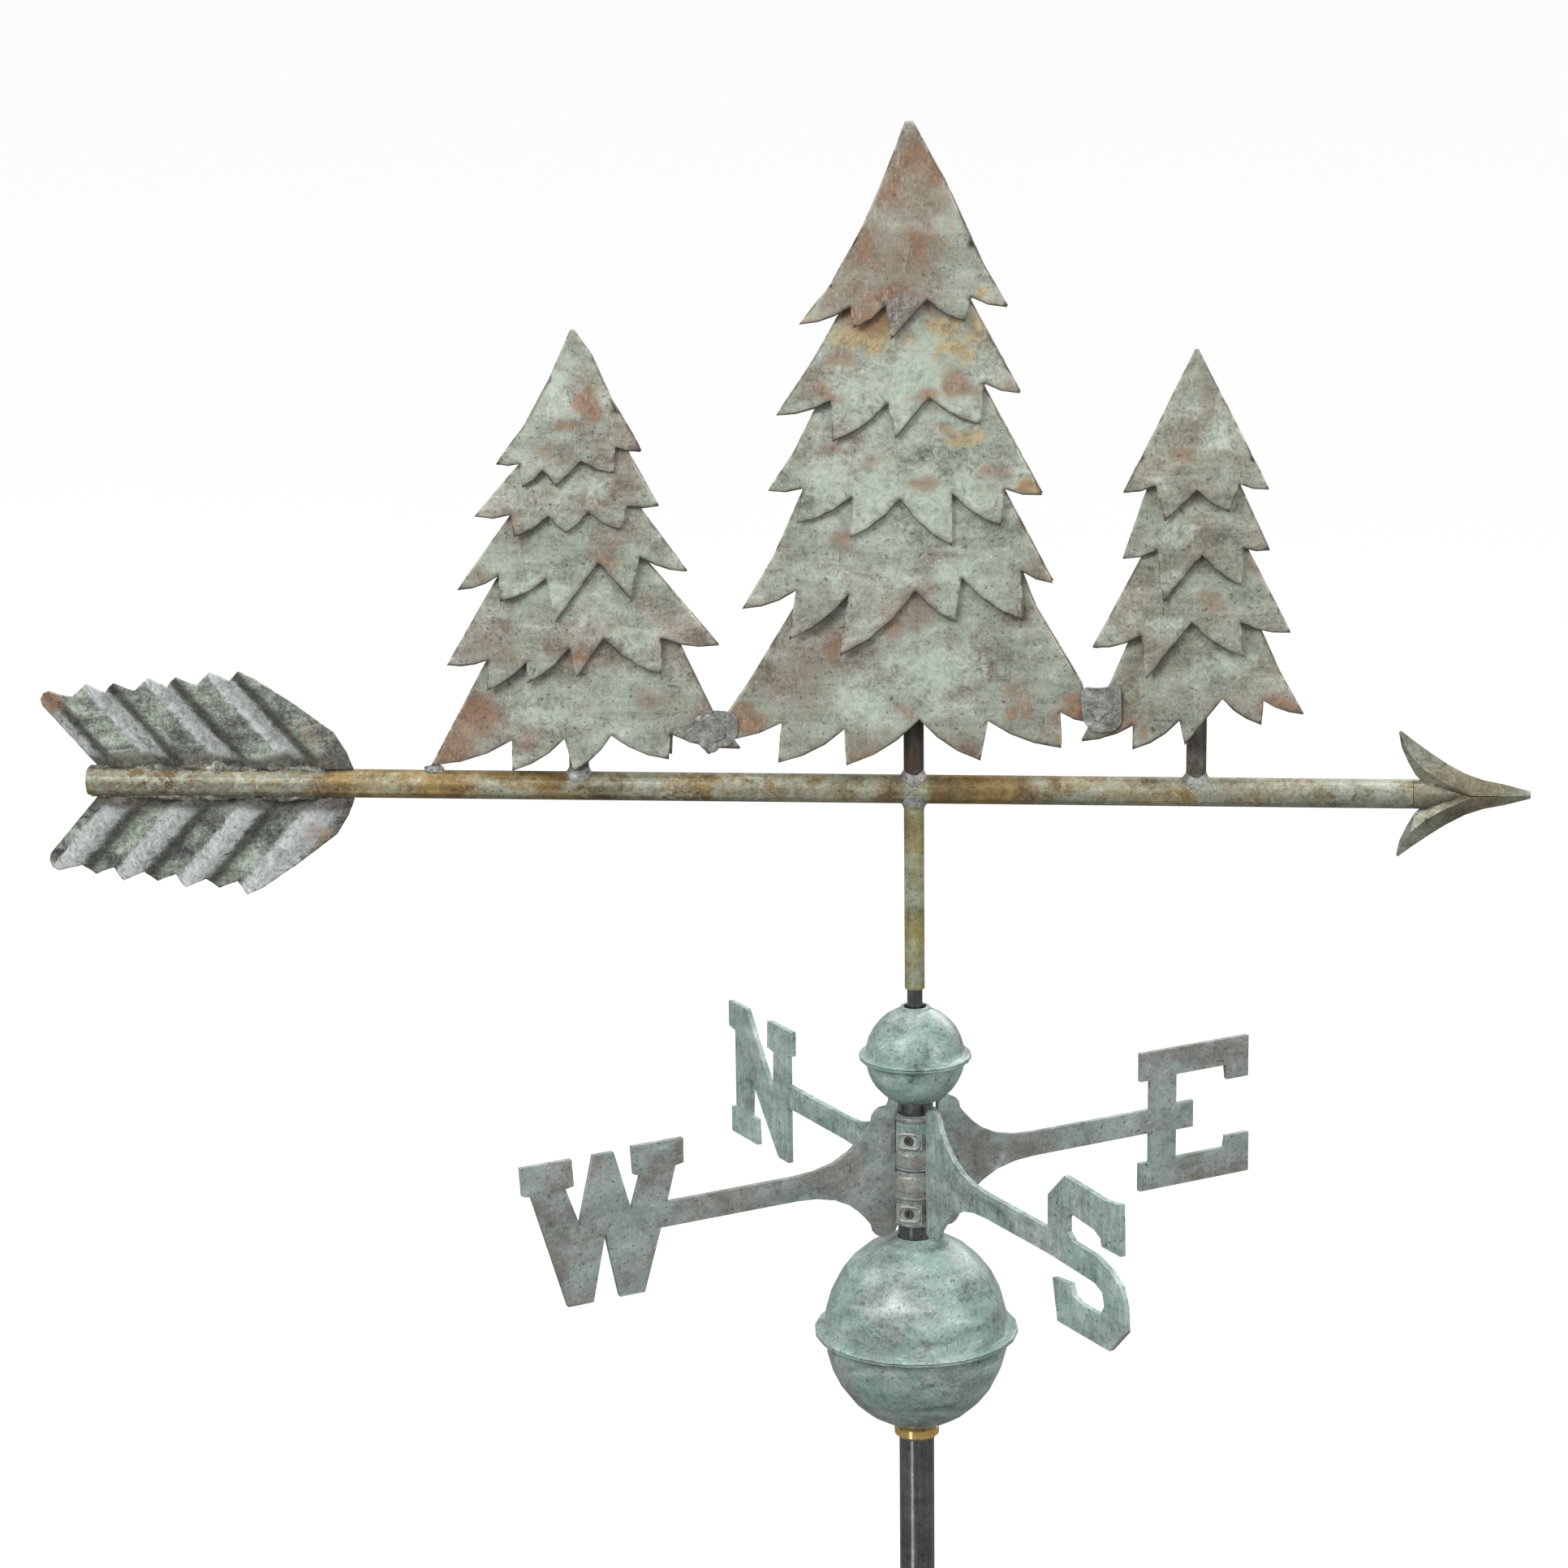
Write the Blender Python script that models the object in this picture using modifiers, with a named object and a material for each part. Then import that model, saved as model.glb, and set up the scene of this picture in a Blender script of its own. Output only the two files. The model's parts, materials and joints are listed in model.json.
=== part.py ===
"""Weather vane with three pine trees on an arrow, two globes and cast compass directionals.

Units are metres, +Z is up. The origin is the centre of the pole's foot, and the arrow
points along +X. Outlines are written in millimetres from their own reference point and
are scaled by MM. Three groups move as one each: the mast stands still, the directionals
turn on the pole when their set screws are slack, and the vane turns on its spindle.
"""

import math

import bmesh
import bpy
from mathutils import Matrix, Vector

MM = 0.001
GAP = 0.3 * MM

# Places: the arrow's height above the pole's foot and the spaces left between pieces
ARROW_HEIGHT = 680 * MM
SPINDLE_SHOWING = 10.7 * MM
POLE_ABOVE_CASTINGS = 6.3 * MM
POLE_BELOW_CASTINGS = 6.0 * MM
LEFT_TREES_OVERLAP = 17 * MM
RIGHT_TREES_OVERLAP = 5 * MM
TAIL_FROM_TREE = 44 * MM
HEAD_FROM_TREE = 59.5 * MM

# Mast
POLE_RADIUS = 10 * MM
POLE_WALL = 2 * MM
SPINDLE_RADIUS = 4.3 * MM
SPINDLE_SEAT_DEPTH = 40 * MM
BALL_UNDERCUT = 0.5 * MM
RING_WALL = 2.5 * MM
RING_HEIGHT = 8 * MM
SHELL_THICKNESS = 0.8 * MM
SMALL_GLOBE_RADIUS = 28 * MM
SMALL_GLOBE_HALF_HEIGHT = 28.5 * MM
SMALL_FLANGE_WIDTH = 3.6 * MM
SMALL_GLOBE_HOLE_CLEARANCE = 2.1 * MM
SMALL_GLOBE_RIM_WIDTH = 2.2 * MM
SMALL_GLOBE_RIM_PROUD = 0.4 * MM
LARGE_GLOBE_RADIUS = 52.5 * MM
LARGE_GLOBE_HALF_HEIGHT = 57.4 * MM
LARGE_FLANGE_WIDTH = 5.5 * MM
FLANGE_LIP = 1.6 * MM

# Directionals
DIRECTIONALS_TURN = math.radians(34)
COLLAR_CLEARANCE = 0.3 * MM
COLLAR_WALL = 3.2 * MM
COLLAR_HEIGHT = 32 * MM
PLATE_SUNK = 0.9 * MM
PLATE_THICKNESS = 3.2 * MM
ARM_HALF_HEIGHT = 7 * MM
ANCHOR_LOBE_RADIUS = 8 * MM
ANCHOR_LOBE_OUT = 20.5 * MM
ANCHOR_LOBE_UP = 30.5 * MM
ARM_STRAIGHT_FROM = 90 * MM
FLARE_POWER = 3.6
BOSS_WIDTH = 15 * MM
BOSS_PROUD = 1.2 * MM
UPPER_BOSS_AT = 19 * MM
UPPER_BOSS_HEIGHT = 9 * MM
LOWER_BOSS_AT = -24 * MM
LOWER_BOSS_HEIGHT = 12 * MM
SCREW_RADIUS = 2.6 * MM
SCREW_SOCKET_RADIUS = 1.5 * MM
SCREW_SOCKET_DEPTH = 1.6 * MM
SCREW_SUNK = 0.2 * MM
SCREW_BEARING = math.radians(225)

# Vane: tubes
BEARING_CLEARANCE = 0.4 * MM
BEARING_WALL = 0.9 * MM
BEARING_BELOW = 114 * MM
BEARING_ABOVE = 135 * MM
PLUG_LENGTH = 14 * MM
ARROW_RADIUS = 8 * MM
ARROW_WALL = 1.2 * MM
POST_RADIUS = 5.5 * MM
POST_WALL = 0.9 * MM
POST_TOP = 92 * MM

# Vane: arrow head
HEAD_SOCKET_LENGTH = 5.5 * MM
HEAD_CONE_LENGTH = 29 * MM
HEAD_SPIGOT_LENGTH = 15 * MM

# Vane: tail feathers, measured along the arrow from its back end and above its axis, and
# the front edge from the last tooth's peak
FEATHER_THICKNESS = 0.9 * MM
FOLD_DEPTH = 4 * MM
FOLD_SLOPE = math.radians(-49)
FIRST_TOOTH = (0, 55)
TOOTH_STEP = (17.8, 1.8)
TOOTH_NOTCH = (-6.5, -6.5)
TEETH = 6
FEATHER_TIP = (-19.5, 45.5)
FEATHER_TIP_RADIUS = 6.2
FEATHER_FRONT = ((9, 60), (31, 45), (52, 29), (59, 18), (63, 9))
FEATHER_SEAM = 0.4

# Vane: pressed tree sheets
SHEET_THICKNESS = 0.8 * MM
SMALL_TREE_EDGE = 0.4 * MM
TREES_NEST_GAP = 1.8 * MM
RISE_AT_TOP = 7.0 * MM
RISE_AT_FOOT = 11.5 * MM
FULL_RISE_HALF_WIDTH = 30 * MM
CUT_ACROSS = 17 * MM
CUT_UP = 23 * MM
CUT_CLEAR = 5 * MM
LOWEST_FLATNESS = 2
BOUGH_BOW = 0.07
LINK_THICKNESS = 1.0 * MM
LINK_CLEARANCE = 0.6 * MM

# Each tier lists its left edge going up, its right edge going down and the zigzag of
# bough tips from right to left, in millimetres from its own post and the arrow's axis.
BIG_TREE = (
    {
        "left": ((-60, 256), (-43, 277), (-26, 307), (-15, 331), (-3, 363)),
        "right": ((1, 363), (19, 329), (38, 287), (51, 265)),
        "foot": ((32, 271), (29, 258), (9, 270), (-10, 249), (-13, 267), (-30, 255), (-32, 266)),
    },
    {
        "left": ((-73, 207), (-52, 238), (-27, 282)),
        "right": ((23, 283), (58, 219)),
        "foot": ((39, 225), (37, 203), (10, 218), (-8, 196), (-12, 215), (-42, 194), (-43, 216)),
    },
    {
        "left": ((-78, 166), (-64, 187), (-40, 234)),
        "right": ((32, 234), (70, 164)),
        "foot": (
            (50, 168), (48, 148), (22, 166), (22, 138), (-6, 163), (-33, 142), (-32, 164),
            (-62, 149), (-59, 168),
        ),
    },
    {
        "left": ((-93, 101), (-76, 129), (-52, 182)),
        "right": ((41, 182), (76, 116)),
        "foot": (
            (59, 123), (60, 96), (27, 120), (24, 96), (2, 113), (-39, 77), (-34, 111),
            (-67, 85), (-63, 112),
        ),
    },
    {
        "left": ((-113, 27), (-91, 59), (-66, 100), (-48, 130)),
        "right": ((56, 130), (67, 102), (92, 60), (97, 39)),
        "foot": (
            (80, 45), (81, 25), (41, 41), (37, 19), (4, 42), (-36, 16), (-37, 36),
            (-74, 16), (-72, 38),
        ),
    },
)
LEFT_TREE = (
    {
        "left": ((-41, 180), (-25, 201), (-11, 226), (1, 253)),
        "right": ((3, 253), (12, 240), (23, 214), (38, 187)),
        "foot": (
            (25, 190), (24, 176), (7, 183), (-7, 169), (-14, 178), (-26, 168),
            (-27, 181),
        ),
    },
    {
        "left": ((-54, 151), (-8, 203)),
        "right": ((22, 203), (47, 157)),
        "foot": (
            (31, 158), (27, 145), (10, 155), (-2, 144), (-12, 153), (-31, 141),
            (-33, 153),
        ),
    },
    {
        "left": ((-65, 110), (-14, 179)),
        "right": ((20, 179), (62, 121)),
        "foot": (
            (37, 130), (32, 107), (15, 127), (-9, 94), (-14, 118), (-40, 105),
            (-41, 119),
        ),
    },
    {
        "left": ((-72, 68), (-24, 148)),
        "right": ((22, 148), (79, 80)),
        "foot": (
            (48, 85), (48, 65), (17, 85), (2, 64), (-2, 80), (-26, 60),
            (-26, 72), (-49, 55), (-48, 72),
        ),
    },
    {
        "left": ((-83, 11), (-31, 105)),
        "right": ((46, 105), (75, 43), (90, 22)),
        "foot": (
            (52, 31), (51, 17), (20, 31), (-1, 11), (-6, 29), (-36, 10),
            (-36, 27),
        ),
    },
)
RIGHT_TREE = (
    {
        "left": ((-40.5, 165), (-22.5, 201), (-3.5, 242)),
        "right": ((-1.5, 242), (14.5, 210), (36.5, 167)),
        "foot": ((20.5, 171), (15.5, 156), (-1.5, 168), (-18.5, 151), (-23.5, 170)),
    },
    {
        "left": ((-40.5, 129), (-19.5, 192)),
        "right": ((10.5, 192), (37.5, 134)),
        "foot": ((23.5, 136), (22.5, 116), (1.5, 133), (-18.5, 107), (-22.5, 135)),
    },
    {
        "left": ((-56.5, 80), (-15.5, 158)),
        "right": ((13.5, 158), (49.5, 89)),
        "foot": ((22.5, 96), (24.5, 77), (-3.5, 96), (-27.5, 65), (-30.5, 88)),
    },
    {
        "left": ((-62.5, 28), (-47.5, 59), (-23.5, 115)),
        "right": ((22.5, 115), (44.5, 67), (57.5, 44)),
        "foot": (
            (35.5, 52), (34.5, 39), (13.5, 54), (-6.5, 29), (-9.5, 42), (-34.5, 25), (-34.5, 38),
        ),
    },
)

# Each link plate: its corners beside the small tree, from its post, and beside the big tree
LEFT_LINK_OUTER = ((79, 23), (68, 26), (67, 43), (78, 45))
LEFT_LINK_INNER = ((-96, 43), (-97, 27))
RIGHT_LINK_OUTER = ((-52.5, 58), (-41.5, 62), (-40.5, 36), (-51.5, 33))
RIGHT_LINK_INNER = ((93, 37), (91, 60))

# Letters: outer distance from the pole's axis against height from the arm's centre line,
# from the arm's top edge round the letter to the arm's bottom edge.
LETTER_E = (
    (158, 7), (158, 25), (151, 25), (151, 42), (227, 42), (227, 17), (212, 17), (211, 26),
    (176, 26), (176, 8), (188, 8), (188, -8), (176, -8), (176, -25), (211, -25), (212, -18),
    (228, -18), (228, -42), (151, -42), (151, -25), (158, -25), (158, -7),
)
LETTER_W = (
    (157.5, 7), (152, 27), (147, 28), (147, 42), (178, 42), (177, 26), (173, 25), (179, 6),
    (189, 41), (201, 41), (210, 3), (218, 25), (213, 26), (214, 41), (244, 41), (243, 25),
    (238, 24), (218, -42), (203, -42), (195, -4), (187, -42), (172, -42), (161.5, -7),
)
LETTER_N = (
    (148, 7), (148, 25), (143, 26), (143, 41), (173, 41), (174, 24), (166, 23), (167, -5),
    (200, 41), (223, 41), (223, 25), (215, 24), (215, -25), (221, -26), (221, -42),
    (188, -42), (189, -26), (197, -26), (195, -1), (161, -42), (148, -42), (148, -7),
)
LETTER_S = (
    (141, 7), (141, 26), (157, 41), (196, 39), (210, 41), (211, 13), (193, 13), (192, 17),
    (186, 20), (164, 22), (160, 19), (160, 11), (165, 7), (188, 6), (201, 2), (211, -4),
    (215, -14), (216, -27), (201, -42), (151, -42), (146, -19), (163, -17), (166, -23),
    (174, -25), (192, -25), (196, -19), (194, -12), (187, -9), (164, -8), (142, -7),
)

# Stations of one barb from its tip to the arrow's point: outer edge, ridge and inner edge,
# each along the arrow from its front end and above its axis, then half the ridge's width.
BARB_STATIONS = (
    ((-6.9, 35.2), (-7.6, 34.6), (-7.9, 33.9), 0.5),
    ((0.5, 29.5), (-5, 27.5), (-6.3, 26), 1.8),
    ((9.5, 23), (-0.5, 20.5), (-2.7, 18), 3.0),
    ((18.5, 17), (6.5, 14), (1.5, 10.5), 4.0),
    ((28.5, 11.5), (17.5, 7), (9.5, 3), 5.0),
    ((38.5, 8), (31.5, 0.6), (24.5, -1), 5.5),
    ((49.5, 5.8), (48.5, 0.2), (46.5, -1), 4.4),
    ((63.5, 2), (63.5, 0.2), (63.5, -0.8), 1.6),
)


# ---------------------------------------------------------------- sizes worked out
def ellipse_height(radius, globe_radius, half_height):
    return half_height * math.sqrt(max(0.0, 1 - (radius / globe_radius) ** 2))


def reach(tree, side):
    """How far a tree's tips reach from its post, to the left (-1) or to the right (+1)."""
    corners = [corner for tier in tree for corner in (*tier["left"], *tier["right"], *tier["foot"])]
    return max(side * x for x, _ in corners) * MM


POLE_HOLE_RADIUS = POLE_RADIUS + COLLAR_CLEARANCE
COLLAR_RADIUS = POLE_HOLE_RADIUS + COLLAR_WALL
RING_RADIUS = POLE_HOLE_RADIUS + RING_WALL
BALL_RADIUS = SPINDLE_RADIUS - BALL_UNDERCUT
BEARING_BORE = SPINDLE_RADIUS + BEARING_CLEARANCE
BEARING_RADIUS = BEARING_BORE + BEARING_WALL
BIG_TREE_EDGE = SMALL_TREE_EDGE + SHEET_THICKNESS + TREES_NEST_GAP

SMALL_GLOBE_HEIGHT = ARROW_HEIGHT - BEARING_BELOW - SPINDLE_SHOWING - SMALL_GLOBE_HALF_HEIGHT
SMALL_GLOBE_AND_LARGE = (
    (SMALL_GLOBE_RADIUS, SMALL_GLOBE_HALF_HEIGHT, POLE_ABOVE_CASTINGS),
    (LARGE_GLOBE_RADIUS, LARGE_GLOBE_HALF_HEIGHT, POLE_BELOW_CASTINGS),
)
GLOBE_TO_ARMS, ARMS_TO_GLOBE = (
    space + max(
        ellipse_height(POLE_HOLE_RADIUS, radius, half_height) + GAP + COLLAR_HEIGHT,
        ellipse_height(ANCHOR_LOBE_OUT, radius, half_height) + ANCHOR_LOBE_UP + ANCHOR_LOBE_RADIUS,
    )
    for radius, half_height, space in SMALL_GLOBE_AND_LARGE
)
ARM_HEIGHT = SMALL_GLOBE_HEIGHT - GLOBE_TO_ARMS
LARGE_GLOBE_HEIGHT = ARM_HEIGHT - ARMS_TO_GLOBE

LEFT_POST_X = LEFT_TREES_OVERLAP - reach(BIG_TREE, -1) - reach(LEFT_TREE, 1)
RIGHT_POST_X = reach(BIG_TREE, 1) + reach(RIGHT_TREE, -1) - RIGHT_TREES_OVERLAP
ARROW_FRONT = RIGHT_POST_X + reach(RIGHT_TREE, 1) + HEAD_FROM_TREE
LAST_TOOTH = (
    FIRST_TOOTH[0] + (TEETH - 1) * TOOTH_STEP[0],
    FIRST_TOOTH[1] + (TEETH - 1) * TOOTH_STEP[1],
)
FEATHER_LENGTH = (LAST_TOOTH[0] + FEATHER_FRONT[-1][0]) * MM
ARROW_BACK = reach(LEFT_TREE, -1) - LEFT_POST_X + TAIL_FROM_TREE + FEATHER_LENGTH


# ---------------------------------------------------------------- scene and materials
def clear_scene():
    for obj in list(bpy.data.objects):
        bpy.data.objects.remove(obj, do_unlink=True)


def make_collection(name, hidden=False):
    collection = bpy.data.collections.new(name)
    collection.hide_render = hidden
    bpy.context.scene.collection.children.link(collection)
    return collection


def make_material(name, colour, roughness, metallic):
    material = bpy.data.materials.new(name)
    material.use_nodes = True
    shader = material.node_tree.nodes["Principled BSDF"]
    shader.inputs["Base Color"].default_value = (*colour, 1)
    shader.inputs["Roughness"].default_value = roughness
    shader.inputs["Metallic"].default_value = metallic
    return material


clear_scene()
PARTS = make_collection("tree_weather_vane")
HELPERS = make_collection("cutters_and_joined_shapes", hidden=True)
TREE_COPPER = make_material("verdigris_tree_copper", (0.36, 0.42, 0.38), 0.6, 0.4)
GLOBE_COPPER = make_material("verdigris_globe_copper", (0.30, 0.44, 0.40), 0.5, 0.4)
TUBE_COPPER = make_material("browned_tube_copper", (0.36, 0.30, 0.18), 0.45, 0.6)
FEATHER_COPPER = make_material("grey_feather_copper", (0.38, 0.40, 0.38), 0.6, 0.4)
CAST_BRASS = make_material("cast_directional_brass", (0.30, 0.35, 0.34), 0.6, 0.4)
BRIGHT_BRASS = make_material("bright_ring_brass", (0.72, 0.52, 0.22), 0.25, 1.0)
BLACK_STEEL = make_material("black_pole_steel", (0.05, 0.05, 0.055), 0.35, 0.7)


def make_empty(name, location, turn=0.0):
    empty = bpy.data.objects.new(name, None)
    empty.location = location
    empty.rotation_euler = (0, 0, turn)
    PARTS.objects.link(empty)
    return empty


def make_object(name, mesh, material, parent=None, helper=False):
    obj = bpy.data.objects.new(name, mesh)
    obj.parent = parent
    mesh.materials.append(material)
    if helper:
        HELPERS.objects.link(obj)
        obj.hide_render = True
        obj.display_type = "WIRE"
    else:
        PARTS.objects.link(obj)
    return obj


def mesh_from(bm, name):
    mesh = bpy.data.meshes.new(name)
    bm.to_mesh(mesh)
    bm.free()
    return mesh


def smooth(mesh, degrees=35):
    mesh.shade_smooth()
    mesh.set_sharp_from_angle(angle=math.radians(degrees))


# ---------------------------------------------------------------- shape helpers
def turned(name, profile, material, parent=None, steps=24, helper=False):
    """A ring-like solid: a closed profile of (radius, height) points turned about Z."""
    area = sum(
        profile[i - 1][0] * profile[i][1] - profile[i][0] * profile[i - 1][1]
        for i in range(len(profile))
    )
    points = profile if area < 0 else profile[::-1]
    bm = bmesh.new()
    verts = [bm.verts.new((radius, 0, height)) for radius, height in points]
    for i, vert in enumerate(verts):
        bm.edges.new((vert, verts[(i + 1) % len(verts)]))
    mesh = mesh_from(bm, name)
    obj = make_object(name, mesh, material, parent, helper)
    screw = obj.modifiers.new("turn", "SCREW")
    screw.angle = math.tau
    screw.steps = screw.render_steps = steps
    screw.use_merge_vertices = True
    screw.merge_threshold = 0.00001
    screw.use_smooth_shade = True
    return obj


def tube(name, inner, outer, low, high, material, parent=None, steps=24):
    profile = [(outer, high), (outer, low), (inner, low), (inner, high)]
    return turned(name, profile, material, parent, steps)


def rod_mesh(name, radius, low, high, segments=24):
    """A solid round bar along Z."""
    bm = bmesh.new()
    bmesh.ops.create_cone(
        bm, cap_ends=True, segments=segments, radius1=radius, radius2=radius, depth=high - low
    )
    bmesh.ops.translate(bm, verts=bm.verts, vec=(0, 0, (low + high) / 2))
    return mesh_from(bm, name)


def lay_along_x(mesh):
    mesh.transform(Matrix.Rotation(math.radians(90), 4, "Y"))


def add_boolean(obj, other, operation):
    modifier = obj.modifiers.new(operation.lower(), "BOOLEAN")
    modifier.operation = operation
    modifier.solver = "EXACT"
    modifier.object = other


def plate_mesh(name, outline, thickness):
    """A flat plate in the XZ plane, centred on it, from an outline in metres."""
    curve = bpy.data.curves.new(name, "CURVE")
    curve.dimensions = "2D"
    curve.fill_mode = "BOTH"
    curve.extrude = thickness / 2
    spline = curve.splines.new("POLY")
    spline.points.add(len(outline) - 1)
    for point, (x, z) in zip(spline.points, outline):
        point.co = (x, z, 0, 1)
    spline.use_cyclic_u = True
    guide = bpy.data.objects.new(name, curve)
    HELPERS.objects.link(guide)
    bpy.context.view_layer.update()
    evaluated = guide.evaluated_get(bpy.context.evaluated_depsgraph_get())
    mesh = bpy.data.meshes.new_from_object(evaluated)
    bpy.data.objects.remove(guide, do_unlink=True)
    bm = bmesh.new()
    bm.from_mesh(mesh)
    bmesh.ops.remove_doubles(bm, verts=bm.verts, dist=0.00001)
    bmesh.ops.rotate(bm, verts=bm.verts, matrix=Matrix.Rotation(math.radians(90), 3, "X"))
    bmesh.ops.recalc_face_normals(bm, faces=bm.faces)
    bm.to_mesh(mesh)
    bm.free()
    return mesh


def arc(centre, radius, start, end, steps):
    """Points on a circle from one angle to another, both in degrees."""
    angles = [math.radians(start + (end - start) * i / steps) for i in range(steps + 1)]
    return [(centre[0] + radius * math.cos(a), centre[1] + radius * math.sin(a)) for a in angles]


def scaled(points):
    return [(x * MM, z * MM) for x, z in points]


# ---------------------------------------------------------------- mast
def quarter_ellipse(radius, half_height, hole, steps=7):
    """Points from the hole's edge at the crown out to the seam."""
    start = math.asin(hole / radius)
    angles = [start + (math.pi / 2 - start) * i / steps for i in range(steps + 1)]
    return [(radius * math.sin(angle), half_height * math.cos(angle)) for angle in angles]


def globe_shell_profile(radius, half_height, hole, flange):
    """Upper half shell above its seam plane, outer side first, down to the flange lip."""
    outer = quarter_ellipse(radius, half_height, hole)
    inner = quarter_ellipse(radius - SHELL_THICKNESS, half_height - SHELL_THICKNESS, hole)
    seam = GAP / 2
    lip = [
        (radius, seam + FLANGE_LIP),
        (flange - FLANGE_LIP / 2, seam + FLANGE_LIP),
        (flange, seam + FLANGE_LIP / 2),
        (flange, seam),
        (inner[-1][0], seam),
    ]
    low_enough = [point for point in outer[:-1] if point[1] > seam + FLANGE_LIP * 1.5]
    return low_enough + lip + inner[-2::-1]


def make_globe(name, height, radius, half_height, flange, top_hole, bottom_hole, rim=0.0):
    upper = globe_shell_profile(radius, half_height, top_hole, flange)
    if rim:
        top = half_height + SMALL_GLOBE_RIM_PROUD
        rim_edge = top_hole + rim
        seat = ellipse_height(rim_edge, radius, half_height)
        rim_top = [(top_hole, top), (rim_edge - SMALL_GLOBE_RIM_PROUD, top), (rim_edge, seat)]
        upper = rim_top + upper[1:]
    lower = globe_shell_profile(radius, half_height, bottom_hole, flange)
    raised = [(r, height + z) for r, z in upper]
    hung = [(r, height - z) for r, z in lower]
    turned(f"{name}_upper_shell", raised, GLOBE_COPPER)
    turned(f"{name}_lower_shell", hung, GLOBE_COPPER)


def make_mast():
    bore = POLE_RADIUS - POLE_WALL
    dome_inside = SMALL_GLOBE_HALF_HEIGHT - SHELL_THICKNESS
    dome_seat = ellipse_height(POLE_RADIUS, SMALL_GLOBE_RADIUS - SHELL_THICKNESS, dome_inside)
    pole_top = SMALL_GLOBE_HEIGHT + dome_seat - 2 * GAP
    spindle_low = pole_top - SPINDLE_SEAT_DEPTH
    spindle_top = ARROW_HEIGHT + BEARING_ABOVE - PLUG_LENGTH - 2 * BALL_RADIUS - 3 * GAP
    tube("pole", bore, POLE_RADIUS, 0, pole_top, BLACK_STEEL)
    tube(
        "spindle_bushing", SPINDLE_RADIUS + GAP, bore - GAP, spindle_low, pole_top, BLACK_STEEL
    )
    spindle = rod_mesh("spindle", SPINDLE_RADIUS, spindle_low, spindle_top)
    smooth(spindle)
    make_object("spindle", spindle, BLACK_STEEL)
    bm = bmesh.new()
    bmesh.ops.create_uvsphere(bm, u_segments=16, v_segments=8, radius=BALL_RADIUS)
    bmesh.ops.translate(bm, verts=bm.verts, vec=(0, 0, spindle_top + BALL_RADIUS + GAP))
    ball = mesh_from(bm, "pivot_ball")
    ball.shade_smooth()
    make_object("pivot_ball", ball, BLACK_STEEL)
    hole = POLE_HOLE_RADIUS
    make_globe(
        "small_globe", SMALL_GLOBE_HEIGHT, SMALL_GLOBE_RADIUS, SMALL_GLOBE_HALF_HEIGHT,
        SMALL_GLOBE_RADIUS + SMALL_FLANGE_WIDTH, SPINDLE_RADIUS + SMALL_GLOBE_HOLE_CLEARANCE,
        hole, rim=SMALL_GLOBE_RIM_WIDTH,
    )
    make_globe(
        "large_globe", LARGE_GLOBE_HEIGHT, LARGE_GLOBE_RADIUS, LARGE_GLOBE_HALF_HEIGHT,
        LARGE_GLOBE_RADIUS + LARGE_FLANGE_WIDTH, hole, hole,
    )
    top = LARGE_GLOBE_HEIGHT - GAP
    top -= ellipse_height(hole, LARGE_GLOBE_RADIUS, LARGE_GLOBE_HALF_HEIGHT)
    round_off = RING_HEIGHT * 0.22
    ring = [
        (hole, top),
        (RING_RADIUS - round_off, top),
        (RING_RADIUS, top - round_off),
        (RING_RADIUS, top - RING_HEIGHT + round_off),
        (RING_RADIUS - round_off, top - RING_HEIGHT),
        (hole, top - RING_HEIGHT),
    ]
    turned("globe_ring", ring, BRIGHT_BRASS)


# ---------------------------------------------------------------- directionals
def flare_height(out):
    """Half height of an arm: slender to the letter, sweeping up to the anchor plate."""
    root = ANCHOR_LOBE_OUT + ANCHOR_LOBE_RADIUS
    share = min(1.0, max(0.0, (out - root) / (ARM_STRAIGHT_FROM - root)))
    sweep = ANCHOR_LOBE_UP - ARM_HALF_HEIGHT
    return ARM_HALF_HEIGHT + sweep * (1 - share) ** FLARE_POWER


def directional_outline(letter, own_side):
    """Letter, arm and tall anchor plate in one outline. own_side is +1 where the upper
    collar holds the plate and -1 where the lower one does; the plate stays clear of the
    other collar."""
    root = ANCHOR_LOBE_OUT + ANCHOR_LOBE_RADIUS
    sweep = (0.0, 0.02, 0.06, 0.13, 0.24, 0.4, 0.6, 0.8, 1.0)
    outs = [root + (ARM_STRAIGHT_FROM - root) * share for share in sweep]
    held = COLLAR_RADIUS - PLATE_SUNK
    clear = COLLAR_RADIUS + 2 * GAP
    inner_top = held if own_side > 0 else clear
    inner_low = clear if own_side > 0 else held
    lobe = arc((ANCHOR_LOBE_OUT, ANCHOR_LOBE_UP), ANCHOR_LOBE_RADIUS, 25, 165, 6)
    step = own_side * 2 * GAP
    outline = scaled(letter)
    outline += [(out, -flare_height(out)) for out in reversed(outs)]
    outline += [(max(inner_low, out), -up) for out, up in lobe]
    outline += [(inner_low, step), (inner_top, step)]
    outline += [(max(inner_top, out), up) for out, up in reversed(lobe)]
    outline += [(out, flare_height(out)) for out in outs]
    return outline


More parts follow.
